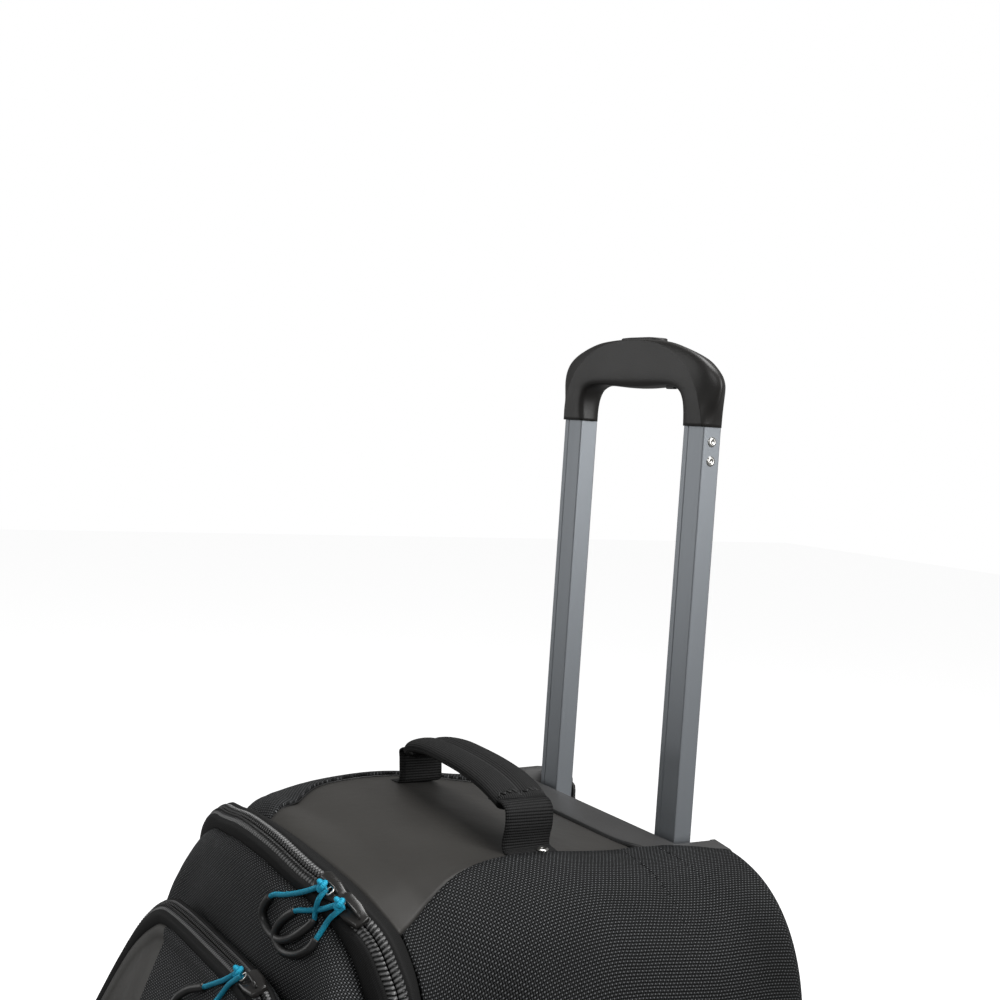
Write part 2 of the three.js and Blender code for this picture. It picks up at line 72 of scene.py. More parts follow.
def lengths(points):
    """The way along a line, at each of its points."""
    return np.concatenate([[0], np.cumsum(np.linalg.norm(np.diff(points, axis=0), axis=1))])


def columns_at(at, run, values):
    return np.stack([np.interp(at, run, values[:, c]) for c in range(values.shape[1])], 1)


def cubic(at, t, k):
    """A smooth curve through the rows of k, which stand at t."""
    slope = np.gradient(k, t, axis=0)
    i = np.clip(np.searchsorted(t, at, side="right") - 1, 0, len(t) - 2)
    h = (t[i + 1] - t[i])[:, None]
    s = (at - t[i])[:, None] / h
    return ((2 * s**3 - 3 * s**2 + 1) * k[i] + (s**3 - 2 * s**2 + s) * h * slope[i]
            + (3 * s**2 - 2 * s**3) * k[i + 1] + (s**3 - s**2) * h * slope[i + 1])


def hermite(knots, count, even=True):
    """A smooth line through knots, at count points; even spacing goes by the first three columns."""
    k = np.array(knots, float)
    step = np.linalg.norm(np.diff(k[:, :3], axis=0), axis=1) ** 0.5 + 1e-9
    t = np.concatenate([[0], np.cumsum(step)])
    fine = cubic(np.linspace(0, t[-1], max(count * 4, 400)), t, k)
    if not even:
        return fine[np.linspace(0, len(fine) - 1, count).round().astype(int)]
    run = lengths(fine[:, :3])
    return columns_at(np.linspace(0, run[-1], count), run, fine)


def mesh_object(name, verts, faces, uvs=None, material=None, smooth=True):
    """An object from vertices in millimetres; uvs is one pair for each vertex, in metres."""
    me = bpy.data.meshes.new(name)
    me.from_pydata([tuple(v) for v in np.asarray(verts, float) * MM], [], [tuple(map(int, f)) for f in faces])
    if uvs is not None:
        layer = me.uv_layers.new(name="UVMap")
        index = np.zeros(len(me.loops), np.int32)
        me.loops.foreach_get("vertex_index", index)
        layer.data.foreach_set("uv", np.asarray(uvs, np.float32)[index].ravel())
    me.validate()
    for p in me.polygons:
        p.use_smooth = smooth
    o = bpy.data.objects.new(name, me)
    bpy.context.scene.collection.objects.link(o)
    if material is not None:
        me.materials.append(material)
    return o


def sheet_mesh(name, grid, uv, material, flip=False, wrap=False):
    """A skin over a rows x columns grid of points."""
    g = np.asarray(grid, float)
    rows, cols = g.shape[:2]
    faces = []
    for r in range(rows - 1):
        for c in range(cols if wrap else cols - 1):
            d = (c + 1) % cols
            f = (r * cols + c, r * cols + d, (r + 1) * cols + d, (r + 1) * cols + c)
            faces.append(f[::-1] if flip else f)
    return mesh_object(name, g.reshape(-1, 3), faces,
                       None if uv is None else np.asarray(uv, float).reshape(-1, 2), material)


def thicken(o, thickness, offset=-1.0):
    m = o.modifiers.new("thick", "SOLIDIFY")
    m.thickness = thickness * MM
    m.offset = offset
    m.use_even_offset = False
    return o


def remade(o, weld=0.0, fill=False, normals=True):
    """Joins points closer than weld (in metres), closes holes and turns the normals outward."""
    bm = bmesh.new()
    bm.from_mesh(o.data)
    if weld:
        bmesh.ops.remove_doubles(bm, verts=bm.verts, dist=weld)
    if fill:
        bmesh.ops.holes_fill(bm, edges=[e for e in bm.edges if e.is_boundary], sides=0)
    if normals:
        bmesh.ops.recalc_face_normals(bm, faces=bm.faces)
    bm.to_mesh(o.data)
    bm.free()
    return o


def frames_along(path, up):
    """For each point of a path: the ways along it, across it, and out from it toward up."""
    p = np.asarray(path, float)
    along = np.gradient(p, axis=0)
    along /= np.linalg.norm(along, axis=1)[:, None]
    u = np.broadcast_to(np.asarray(up, float), p.shape)
    out = u - along * np.sum(u * along, axis=1)[:, None]
    out /= np.linalg.norm(out, axis=1)[:, None] + 1e-12
    return along, np.cross(along, out), out


def swept(name, path, up, section, material, caps=True, swell=None):
    """A closed section of (across, out) pairs swept along a path; swell gives each ring's own factor."""
    p = np.asarray(path, float)
    _, across, out = frames_along(p, up)
    sec = np.asarray(section, float)
    k = np.ones(len(p)) if swell is None else np.asarray(swell, float)
    g = (p[:, None, :] + across[:, None, :] * sec[None, :, 0:1] * k[:, None, None]
         + out[:, None, :] * sec[None, :, 1:2] * k[:, None, None])
    run = lengths(p) * MM
    girth = lengths(np.vstack([sec, sec[:1]]))[:-1] * MM
    uv = np.stack(np.broadcast_arrays(girth[None, :], run[:, None]), -1)
    o = sheet_mesh(name, g, uv, material, wrap=True)
    return remade(o, fill=True) if caps else o


def round_section(r, n=10, squash=1.0):
    a = np.linspace(0, 2 * math.pi, n, endpoint=False)
    return np.stack([r * np.cos(a), r * squash * np.sin(a)], 1)


def chaikin(points, times):
    """A closed outline with its corners cut, times over."""
    p = np.asarray(points, float)
    for _ in range(times):
        q = np.roll(p, -1, axis=0)
        p = np.stack([p * 0.75 + q * 0.25, p * 0.25 + q * 0.75], 1).reshape(-1, p.shape[1])
    return p


def lathe(name, profile, origin, axis, material, segments=64):
    """A closed profile of (radius, along) pairs turned about an axis through origin."""
    prof = np.asarray(profile, float)
    axis = Vector(axis).normalized()
    side = axis.orthogonal().normalized()
    other = axis.cross(side)
    a = np.linspace(0, 2 * math.pi, segments, endpoint=False)
    ring = np.cos(a)[:, None] * np.array(side) + np.sin(a)[:, None] * np.array(other)
    g = np.array(origin) + ring[:, None, :] * prof[None, :, 0:1] + np.array(axis) * prof[None, :, 1:2]
    rows = np.concatenate([g, g[:1]])
    uv = np.stack(np.broadcast_arrays(lengths(prof)[None, :] * MM,
                                      np.linspace(0, 1, segments + 1)[:, None] * 0.28), -1)
    return remade(sheet_mesh(name, rows, uv, material), weld=1e-6)


def bevelled(o, width, segments=3, angle=30):
    m = o.modifiers.new("bevel", "BEVEL")
    m.width = width * MM
    m.segments = segments
    m.limit_method = "ANGLE"
    m.angle_limit = math.radians(angle)
    m.harden_normals = False
    return o


def place(o, body, slot, *nodes):
    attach(o, body)
    if nodes:
        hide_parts(*nodes)
    return o


# ---- materials


class Nodes:
    """Short hands for building one material."""

    def __init__(self, name):
        self.mat = bpy.data.materials.new(name)
        self.mat.use_nodes = True
        self.tree = self.mat.node_tree
        self.shader = self.tree.nodes["Principled BSDF"]

    def node(self, kind, **values):
        n = self.tree.nodes.new(kind)
        for key, value in values.items():
            setattr(n, key, value)
        return n

    def link(self, a, b):
        self.tree.links.new(a, b)

    def math(self, op, a, b=None, c=None):
        n = self.node("ShaderNodeMath", operation=op)
        for slot, value in zip(n.inputs, (a, b, c)):
            if value is None:
                continue
            if isinstance(value, (int, float)):
                slot.default_value = value
            else:
                self.link(value, slot)
        return n.outputs[0]

    def noise(self, scale, detail=3.0, rough=0.5, vector=None):
        n = self.node("ShaderNodeTexNoise")
        n.inputs["Scale"].default_value = scale
        n.inputs["Detail"].default_value = detail
        n.inputs["Roughness"].default_value = rough
        if vector is not None:
            self.link(vector, n.inputs["Vector"])
        return n.outputs["Fac"]

    def ramp(self, fac, *stops):
        n = self.node("ShaderNodeValToRGB")
        while len(n.color_ramp.elements) < len(stops):
            n.color_ramp.elements.new(0.5)
        for e, (pos, col) in zip(n.color_ramp.elements, stops):
            e.position = pos
            e.color = (*col, 1)
        self.link(fac, n.inputs["Fac"])
        return n.outputs["Color"]

    def bump(self, height, distance, strength=1.0, under=None):
        n = self.node("ShaderNodeBump")
        n.inputs["Distance"].default_value = distance
        n.inputs["Strength"].default_value = strength
        self.link(height, n.inputs["Height"])
        if under is not None:
            self.link(under, n.inputs["Normal"])
        return n.outputs["Normal"]

    def uv(self):
        n = self.node("ShaderNodeSeparateXYZ")
        self.link(self.node("ShaderNodeTexCoord").outputs["UV"], n.inputs[0])
        return n.outputs[0], n.outputs[1]

    def place_coords(self):
        return self.node("ShaderNodeTexCoord").outputs["Object"]

    def set(self, **values):
        names = {"color": "Base Color", "rough": "Roughness", "metal": "Metallic", "sheen": "Sheen Weight",
                 "specular": "Specular IOR Level", "normal": "Normal"}
        for key, value in values.items():
            s = self.shader.inputs[names[key]]
            if isinstance(value, bpy.types.NodeSocket):
                self.link(value, s)
            elif isinstance(value, tuple):
                s.default_value = (*value, 1)
            else:
                s.default_value = value
        return self.mat


def grey(v, warm=0.0):
    return (v * (1 + warm), v, v * (1 - warm))


def woven(name, dark, light, pitch, depth, warm=-0.03):
    """Basket weave: square cells of thread that run one way and the other in turn."""
    n = Nodes(name)
    u, v = n.uv()
    wob = n.math("MULTIPLY", n.math("SUBTRACT", n.noise(35.0, 2.0, vector=n.place_coords()), 0.5), 0.6)
    a = n.math("ADD", n.math("DIVIDE", u, pitch * 0.58), wob)
    b = n.math("ADD", n.math("DIVIDE", v, pitch * 0.42), wob)
    fa = n.math("SUBTRACT", n.math("FRACT", a), 0.5)
    fb = n.math("SUBTRACT", n.math("FRACT", b), 0.5)
    odd = n.math("MODULO", n.math("ADD", n.math("FLOOR", a), n.math("FLOOR", b)), 2.0)
    odd = n.math("GREATER_THAN", n.math("ABSOLUTE", odd), 0.5)
    ca = n.math("COSINE", n.math("MULTIPLY", fa, math.pi))
    cb = n.math("COSINE", n.math("MULTIPLY", fb, math.pi))
    up = n.math("MULTIPLY", ca, n.math("MULTIPLY_ADD", cb, 0.45, 0.55))
    down = n.math("MULTIPLY", n.math("MULTIPLY", cb, n.math("MULTIPLY_ADD", ca, 0.45, 0.55)), 0.62)
    mix = n.node("ShaderNodeMix", data_type="FLOAT")
    n.link(odd, mix.inputs[0])
    n.link(up, mix.inputs[2])
    n.link(down, mix.inputs[3])
    height = mix.outputs[0]
    patch = n.noise(9.0, 2.0, vector=n.place_coords())
    # colour follows the thread height: painted shade in the gaps between threads and painted highlights on
    # the thread tops, varied by random patches
    painted_thread_light = n.math("MULTIPLY", height, n.math("MULTIPLY_ADD", patch, 0.5, 0.75))
    color = n.ramp(painted_thread_light, (0.30, grey(dark, warm)), (0.72, grey(light * 0.33, warm)), (1.0, grey(light, warm)))
    return n.set(color=color, rough=0.55, specular=0.12, normal=n.bump(height, depth))


def ribbed(name, dark, light, pitch, depth, across=False, rough=0.7):
    """Webbing or tape: fine ribs one way, finer threads the other way."""
    n = Nodes(name)
    u, v = n.uv()
    if across:
        u, v = v, u
    rib = n.math("ABSOLUTE", n.math("SINE", n.math("MULTIPLY", v, math.pi / pitch)))
    thread = n.math("ABSOLUTE", n.math("SINE", n.math("MULTIPLY", u, math.pi / (pitch * 0.7))))
    height = n.math("MULTIPLY", rib, n.math("MULTIPLY_ADD", thread, 0.4, 0.6))
    # colour follows the rib height: painted shade in the grooves and painted highlights on the crests
    color = n.ramp(height, (0.1, grey(dark)), (1.0, grey(light)))
    return n.set(color=color, rough=rough, specular=0.2, normal=n.bump(height, depth))


def plastic(name, shade, rough, grain=0.00012, warm=0.0, scale=900.0):
    n = Nodes(name)
    height = n.noise(scale, 2.0, vector=n.place_coords())
    haze = n.noise(14.0, 3.0, vector=n.place_coords())
    spread = n.math("MULTIPLY_ADD", haze, 0.12, rough - 0.06)
    return n.set(color=grey(shade, warm), rough=spread, normal=n.bump(height, grain, 0.6))


def drawn_metal(name, color, metallic, rough, spread, scale, grain, strength):
    """Metal whose fine lines run along the direction in which scale is small."""
    n = Nodes(name)
    stretch = n.node("ShaderNodeMapping")
    stretch.inputs["Scale"].default_value = scale
    n.link(n.place_coords(), stretch.inputs["Vector"])
    lines = n.noise(1.0, 2.0, vector=stretch.outputs[0])
    return n.set(color=color, metal=metallic, rough=n.math("MULTIPLY_ADD", lines, spread, rough),
                 specular=0.5, normal=n.bump(lines, grain, strength))


def coated():
    n = Nodes("coated_fabric")
    here = n.place_coords()
    soft = n.noise(26.0, 3.0, 0.55, vector=here)
    grain = n.noise(1400.0, 2.0, vector=here)
    folds = n.bump(soft, 0.0016, 0.5)
    color = n.ramp(n.noise(7.0, 2.0, vector=here), (0.3, (0.030, 0.028, 0.025)), (0.7, (0.043, 0.041, 0.037)))
    return n.set(color=color, rough=0.5, specular=0.3, sheen=0.03,
                 normal=n.bump(grain, 0.00008, 0.5, under=folds))


def cord_fabric():
    """A braid: threads that cross at an angle."""
    n = Nodes("pull_cord_braid")
    u, v = n.uv()
    one = n.math("SINE", n.math("MULTIPLY", n.math("ADD", u, v), 3600.0))
    two = n.math("SINE", n.math("MULTIPLY", n.math("SUBTRACT", u, v), 3600.0))
    height = n.math("MULTIPLY_ADD", n.math("MULTIPLY", one, two), 0.5, 0.5)
    # colour follows the braid's height: painted shade where the threads dip and painted highlights on their
    # tops
    color = n.ramp(height, (0.0, (0.001, 0.25, 0.42)), (1.0, (0.003, 0.52, 0.78)))
    return n.set(color=color, rough=0.6, normal=n.bump(height, 0.0002))


def coil_plastic(name, pitch):
    """Dark monofilament with painted light: a painted highlight on each turn's crest and painted shade in the
    gap; v runs along the zip.
    """
    n = Nodes(name)
    u, v = n.uv()
    turn_at = n.math("MULTIPLY", n.math("ADD", v, n.math("MULTIPLY", u, 0.35)), math.pi / pitch)
    crest = n.math("POWER", n.math("ABSOLUTE", n.math("COSINE", turn_at)), 1.6)
    # painted highlight on the crests and painted shade in the gaps between turns
    color = n.ramp(crest, (0.2, grey(0.002)), (0.9, grey(0.14)))
    return n.set(color=color, rough=0.3, specular=0.5, normal=n.bump(crest, 0.0008))


WOVEN = woven("woven_nylon", 0.0025, 0.15, 0.0034, 0.0010)
# a lit copy of the woven nylon, with a finer weave, for the lid and pocket fronts: its lighter tones are
# painted light
WOVEN_FINE_LIT = woven("woven_nylon_front", 0.006, 0.26, 0.0030, 0.0009)
COATED = coated()
TAPE = ribbed("zip_tape", 0.005, 0.016, 0.0009, 0.0001)
BAND = ribbed("rolled_edge", 0.004, 0.014, 0.0012, 0.00012)
PIPING = plastic("piping", 0.004, 0.5)
COIL = coil_plastic("zip_coil", 0.0029)
COIL_SMALL = coil_plastic("zip_coil_small", 0.0025)
TRIM = plastic("trim_moulding", 0.055, 0.48, grain=0.00018, warm=0.01)
BLACK = plastic("black_moulding", 0.022, 0.46, grain=0.00016, warm=0.05)
GRIP = plastic("grip_moulding", 0.013, 0.42, grain=0.0001, warm=0.09, scale=1300.0)
TUBE_METAL = drawn_metal("anodised_tube", (0.25, 0.268, 0.288), 0.7, 0.36, 0.1, (900, 900, 3), 0.00003, 0.4)
STEEL = drawn_metal("bright_steel", (0.72, 0.71, 0.68), 1.0, 0.18, 0.12, (300, 300, 300), 0.00001, 0.5)
GUNMETAL = plastic("slider_lacquer", 0.018, 0.22, grain=0.00002, warm=0.06)
WEBBING = ribbed("webbing", 0.001, 0.024, 0.0020, 0.0005, rough=0.62)
PAD_CLOTH = ribbed("pad_webbing", 0.002, 0.030, 0.0016, 0.0003, across=True, rough=0.7)
RUBBER = plastic("rubber", 0.014, 0.6, grain=0.0003)
TYRE = plastic("tyre_rubber", 0.020, 0.66, grain=0.0004)
CORD = cord_fabric()
SLEEVE = plastic("pull_sleeve", 0.016, 0.38, grain=0.00006)
THREAD = plastic("stitching", 0.018, 0.7)
STUDIO = plastic("studio_white", 0.92, 0.9)

# ---- camera

turn, pitch, roll = math.radians(57.8), math.radians(2.94), math.radians(3.81)
right = Vector((math.cos(turn), math.sin(turn), 0))
ahead = Vector((-math.sin(turn), math.cos(turn), 0))
look = ahead * math.cos(pitch) - Vector((0, 0, math.sin(pitch)))
above = Vector((0, 0, math.cos(pitch))) + ahead * math.sin(pitch)
cam_x = right * math.cos(roll) + above * math.sin(roll)
cam_y = above * math.cos(roll) - right * math.sin(roll)
camera = bpy.data.objects.new("camera", bpy.data.cameras.new("camera"))
bpy.context.scene.collection.objects.link(camera)
camera.matrix_world = Matrix(((cam_x.x, cam_y.x, -look.x, 0.8436), (cam_x.y, cam_y.y, -look.y, -0.489),
                              (cam_x.z, cam_y.z, -look.z, 0.916), (0, 0, 0, 1)))
camera.data.lens = 50
camera.data.sensor_width = 36
camera.data.clip_start = 0.01
bpy.context.scene.camera = camera

# ---- the soft body: top panel, side panels

MAIN_ZIP = (
    # coil (x, y, z), crease in front of it, back edge of the tape behind it
    ((0, -128, 641), (0, -135, 626), (0, -95, 627.3)),
    ((30, -127, 639.5), (29, -134, 624.5), (28, -95, 626.8)),
    ((50, -125, 636), (46, -132.5, 622), (48, -94.5, 625.2)),
    ((67, -123, 633), (60, -131, 620), (67, -93, 622.8)),
    ((86, -120, 630), (78, -128.5, 617), (87, -91.5, 619)),
    ((104, -116, 624), (95, -125.5, 611), (104, -89.5, 614.3)),
    ((118, -112.5, 618), (108, -123, 605), (118, -88, 610)),
    ((130, -109, 612.5), (119, -121, 597), (129, -86.8, 605)),
    ((139, -107, 606), (127, -120, 589), (138, -86.3, 597.5)),
    ((146, -105, 597), (134, -119, 580), (146, -85.8, 588.5)),
    ((154, -102, 583), (143, -117, 567), (154, -85.3, 574)),
    ((158.5, -101, 555), (151, -116, 543), (160, -85, 552)),
    ((161, -100, 520), (156, -115, 512), (164, -85, 520)),
    ((163, -100, 470), (160, -114, 468), (166, -85, 470)),
    ((165, -100, 380), (163, -114, 380), (168, -85, 380)),
    ((166, -100, 250), (164, -114, 250), (168, -85, 250)),
    ((166, -100, 108), (164, -114, 108), (166, -85, 108)),
)

BODY_ROWS = (
    # y, half-width (right), flat part (right), crown height, bulge, left seam, right seam, bow,
    # roundness (right), flat part (left), roundness (left), half-width (left)
    (-62, 181, 52, 629.8, 1.6, -85, 113, 0.5, 2.12, 84, 2.6, 188),
    (-38, 190, 68, 634.0, 1.8, -109, 105, 0.2, 2.25, 90, 2.5, 194),
    (-10, 197, 86, 636.2, 2.0, -118, 101, 0.0, 2.4, 94, 2.5, 198),
    (22, 200, 97, 636.8, 2.0, -117, 101, 0.0, 2.5, 97, 2.5, 200),
    (62, 200, 98, 633.5, 1.5, -111, 102, 0.0, 2.5, 98, 2.5, 200),
    (95, 199.5, 96, 629.3, 0.8, -102, 96, 0.0, 2.5, 96, 2.5, 199.5),
    (110, 199, 95, 627.9, 0.5, -97, 92, 0.0, 2.5, 95, 2.5, 199),
    (122, 198.5, 94, 627.4, 0.3, -108, 92.5, 0.0, 2.5, 94, 2.5, 198.5),
    (140, 197.5, 93, 627.3, 0.2, -134, 95, 0.0, 2.5, 93, 2.5, 197.5),
    (158, 196, 92, 627, 0.1, -139, 102, 0.0, 2.5, 92, 2.5, 196),
    (174, 194, 91, 626.2, 0.0, -136, 109, 0.0, 2.5, 91, 2.5, 194),
    (184, 191.5, 90, 625.2, 0.0, -128, 111.5, 0.0, 2.5, 90, 2.5, 191.5),
    (188.5, 189, 88, 622.5, 0.0, -120, 112, 0.0, 2.5, 88, 2.5, 189),
)
ROW_TABLE = np.array(BODY_ROWS, float)
SHOULDER_Z = 500.0


def body_row(y):
    """The cross-section's sizes at a given depth, smoothly between the rows of the table."""
    return cubic(np.array([y]), ROW_TABLE[:, 0], ROW_TABLE)[0]


def crown_height(row, x):
    """The height of the top at x: flat and a little bulged in the middle, then round down to the shoulder."""
    half, flat, power = (np.where(x > 0, row[i], row[j]) for i, j in ((1, 11), (2, 9), (8, 10)))
    top, bulge = row[3], row[4]
    x = np.abs(x)
    over = np.clip((x - flat) / (half - flat), 0, 0.999999)
    z = SHOULDER_Z + (top - SHOULDER_Z) * (1 - over**power) ** (1 / power)
    return z + bulge * np.clip(1 - (x / flat) ** 2, 0, 1)


def bowed(row, y, x):
    """The depth at x of a row that bows forward in the middle."""
    return y - row[7] * 6.0 * (1 - np.clip(np.abs(x) / 150, 0, 1) ** 2)


def section_points(row, x0, side, count_top, count_side):
    """From the seam round the shoulder and down the side to the base."""
    half, flat, power = (row[1], row[2], row[8]) if side > 0 else (row[11], row[9], row[10])
    top = row[3]
    over = np.clip((abs(x0) - flat) / (half - flat), 0, 0.98)
    start = math.asin(min(1, over ** (power / 2)))
    phi = np.linspace(start, math.pi / 2, count_top)
    x = flat + (half - flat) * np.sin(phi) ** (2 / power)
    if abs(x0) < flat:
        lead = np.linspace(abs(x0), flat, 5)[:-1]
        x = np.interp(np.linspace(0, 1, count_top), np.linspace(0, 1, count_top + 4),
                      np.concatenate([lead, x]))
        z = crown_height(row, x * side)
    else:
        z = SHOULDER_Z + (top - SHOULDER_Z) * np.cos(phi) ** (2 / power)
    z[-1] = min(z[-1], SHOULDER_Z + 1)
    down = np.linspace(SHOULDER_Z, 101, count_side + 1)[1:]
    swell = np.sin((SHOULDER_Z - down) / (SHOULDER_Z - 101) * math.pi) * 2.0
    xs = np.concatenate([x, half + swell])
    zs = np.concatenate([z, down])
    return xs * side, zs


FRONT_Y = -62
CLOTH = 3
FRONT_STEPS = np.linspace(1, 0, 9)[:-1]
BACK_ROWS = (114, 116, 118, 120.5, 123, 126, 130, 134, 139, 144, 150, 156, 162, 168, 173, 177, 180.5, 183.5,
             186, 188.5)
ROWS_Y = np.concatenate([np.linspace(FRONT_Y, 112, 50), BACK_ROWS])
# middle (y, z), angle, width, length and depth of each fold in a side panel
FOLDS = (
    ((-30, 548), 0.5, 13, 42, -4.0),
    ((35, 430), -0.4, 20, 70, -3.5),
    ((90, 300), 0.3, 22, 80, -3.0),
)


def crumple(x, y, z, amount):
    """Slow waves that keep a big panel from looking machined."""
    return amount * (np.sin(x * 0.021 + z * 0.017 + 1.3) * np.sin(y * 0.031 + z * 0.011)
                     + 0.5 * np.sin(x * 0.05 - y * 0.043 + z * 0.026))


def tape_half(side):
    """The back edge of the zip's tape on one side, from the middle of the top to the foot."""
    t = np.array([row[2] for row in MAIN_ZIP], float)
    return hermite(t * (side, 1, 1), 160)


def resampled(points, weights):
    run = lengths(points)
    return columns_at(run[-1] * weights, run, points)


def fold(y, z, middle, angle, wide, long, depth):
    """A soft valley pressed into cloth, with a low ridge beside it."""
    a = (y - middle[0]) * math.cos(angle) + (z - middle[1]) * math.sin(angle)
    b = (z - middle[1]) * math.cos(angle) - (y - middle[0]) * math.sin(angle)
    valley = np.exp(-((a / wide) ** 2))
    ridge = 0.7 * np.exp(-(((a - wide * 1.7) / wide) ** 2))
    return depth * np.exp(-((b / long) ** 2)) * (valley - ridge)


def side_panel(side_name, side):
    grid, uv = [], []
    for y in ROWS_Y:
        row = body_row(y)
        seam = row[6] if side > 0 else row[5]
        xs, zs = section_points(row, seam, side, 26, 34)
        xs, zs = np.append(xs, xs[-1] - side * 9), np.append(zs, zs[-1] + 1)
        ys = bowed(row, y, xs)
        wave = crumple(xs, ys, zs, 1.1) * np.clip((SHOULDER_Z + 60 - zs) / 120, 0, 1)
        xs = xs + side * (wave + sum(fold(ys, zs, *values) for values in FOLDS))
        run = lengths(np.stack([xs, zs], 1)) + abs(seam)
        grid.append(np.stack([xs, ys, zs], 1))
        uv.append(np.stack([run * MM, ys * MM], 1))
    first = grid[0]
    weights = lengths(first) / lengths(first)[-1]
    tape = tape_half(side)
    tape = resampled(tape[np.abs(tape[:, 0]) >= (123 if side > 0 else 57)], weights)
    puff, late = (-1.2, 1.0) if side > 0 else (5.5, 1.3)
    head = []
    for t in FRONT_STEPS:
        p = first + (tape - first) * t
        p[:, 2] += puff * math.sin(math.pi * t**late) * np.clip((p[:, 2] - 540) / 60, 0, 1)
        head.append(p)
        uv.insert(len(head) - 1, np.stack([(lengths(p) + abs(p[0, 0])) * MM, p[:, 1] * MM], 1))
    grid = head + grid
    o = thicken(sheet_mesh(f"side_panel_skin_{side_name}", grid, uv, WOVEN, flip=side > 0), CLOTH)
    return place(o, "bag", "woven_nylon", f"side_panel_{side_name}"), np.array([g[0] for g in grid])


seams = {}
for side_name, side in SIDES:
    _, seams[side] = side_panel(side_name, side)

grid, uv = [], []
for left_end, right_end in zip(seams[-1], seams[1]):
    y = (left_end[1] + right_end[1]) / 2
    if y > 117:
        break
    row = body_row(max(y, FRONT_Y))
    xs = np.linspace(left_end[0], right_end[0], 41)
    zs = crown_height(row, xs)
    part = np.clip((FRONT_Y - y) / 27, 0, 1)
    edge = tape_half(1)
    front = np.interp(np.abs(xs), edge[:60, 0], edge[:60, 2])
    zs = zs + (front - zs) * part
    across = (xs - left_end[0]) / (right_end[0] - left_end[0])
    off = np.array((left_end[2] - zs[0], right_end[2] - zs[-1]))
    zs = zs + off[0] * (1 - across) ** 3 + off[1] * across**3
    ys = left_end[1] + (right_end[1] - left_end[1]) * across - 5 * part * (1 - (xs / 125) ** 2)
    dent = 0.5 * np.sin(xs * 0.045 + ys * 0.03) * np.clip((110 - y) / 60, 0, 1)
    grid.append(np.stack([xs, ys, zs + dent * np.clip(1 - (xs / 100) ** 4, 0, 1)], 1))
    uv.append(np.stack([xs * MM, ys * MM], 1))
top = sheet_mesh("top_panel_skin", grid, uv, COATED)
place(thicken(top, CLOTH), "bag", "coated_panel", "top_panel")
for side_name, side in SIDES:
    line = seams[side][seams[side][:, 1] < 108]
    line = hermite(line[::3], 90)
    line[:, 2] += 0.3
    seam = swept(f"top_seam_{side_name}", line, (0, 0, 1), round_section(1.2, 8, 0.6), PIPING)
    place(seam, "bag", "woven_nylon")

# back panel with its bound edge
BACK_Y = 189
BACK_EDGE = ((97, 623), (114, 620), (134, 611), (151, 601), (167, 584), (179, 562), (186, 535), (189, 500),
             (190, 400), (190.5, 250), (189, 96))
outline = hermite([(x, BACK_Y, z) for x, z in BACK_EDGE], 60)
notch = [(-89, BACK_Y, 622), *[(x, BACK_Y, 609) for x in np.linspace(-86, 91, 9)], (94, BACK_Y, 622)]
ring = np.vstack([outline[::-1] * (-1, 1, 1), notch, outline])
rows = []
for t in np.linspace(0, 1, 14):
    k = 1 - t
    low = np.minimum(ring[:, 2], 350)
    p = np.column_stack([ring[:, 0] * k, ring[:, 1], low + (ring[:, 2] - low) * k])
    p[:, 1] = 188.8 + 1.6 * (1 - k**6)
    rows.append(p)
uv = [np.stack([p[:, 0] * MM, p[:, 2] * MM], 1) for p in rows]
back = remade(sheet_mesh("back_panel_skin", rows, uv, WOVEN), weld=1e-5, normals=False)
place(thicken(back, 2.5), "bag", "woven_nylon", "back_panel")
edge = swept("back_binding", hermite(ring, 420), (0, 1, 0), round_section(2.0, 8), PIPING)
place(edge, "bag", "rubber")

# ---- main zip


def both_sides(rows):
    """Right-hand stations, one row of numbers each, mirrored to run from the left foot to the right foot."""
    r = np.array([[c for p in row for c in p] for row in rows], float)
    mirror = np.tile((-1.0, 1.0, 1.0), r.shape[1] // 3)
    return np.vstack([r[:0:-1] * mirror, r])


def strip(name, lines, material, body, slot, *nodes, thick=1.2):
    """A ribbon between lines of equal length."""
    g = np.stack(lines, 1)
    mid = g[:, len(lines) // 2]
    run = lengths(mid) * MM
    wide = np.cumsum(np.concatenate([[0], np.linalg.norm(np.diff(g, axis=1), axis=2).mean(0)])) * MM
    uv = np.stack(np.broadcast_arrays(wide[None, :], run[:, None]), -1)
    return place(thicken(sheet_mesh(name, g, uv, material), thick, 0.0), body, slot, *nodes)


def bulged(a, b, out, height, count=7, power=1.0):
    """Lines from a to b that swell outward between them."""
    lines = []
    for t in np.linspace(0, 1, count):
        lines.append(a + (b - a) * t + out * height * math.sin(math.pi * t) ** power)
    return lines


def zip_frame(coil, crease, tape):
    """Across and out for a zip that rides on the ridge between the crease in front and the tape behind."""
    along = np.gradient(coil, axis=0)
    along /= np.linalg.norm(along, axis=1)[:, None]
    flanks = []
    for d in (coil - crease, tape - coil):
        d = d - along * np.sum(d * along, 1)[:, None]
        flanks.append(d / np.linalg.norm(d, axis=1)[:, None])
    across = flanks[0] * 0.56 + flanks[1] * 0.44
    across /= np.linalg.norm(across, axis=1)[:, None]
    out = np.cross(across, along)
    away = np.stack([coil[:, 0] / 120, np.full(len(coil), -0.6), np.clip((coil[:, 2] - 470) / 120, 0, 1)], 1)
    return across, out * np.sign(np.sum(out * away, 1))[:, None]


COIL_GAP = 0.35  # from the zip's middle line to each row


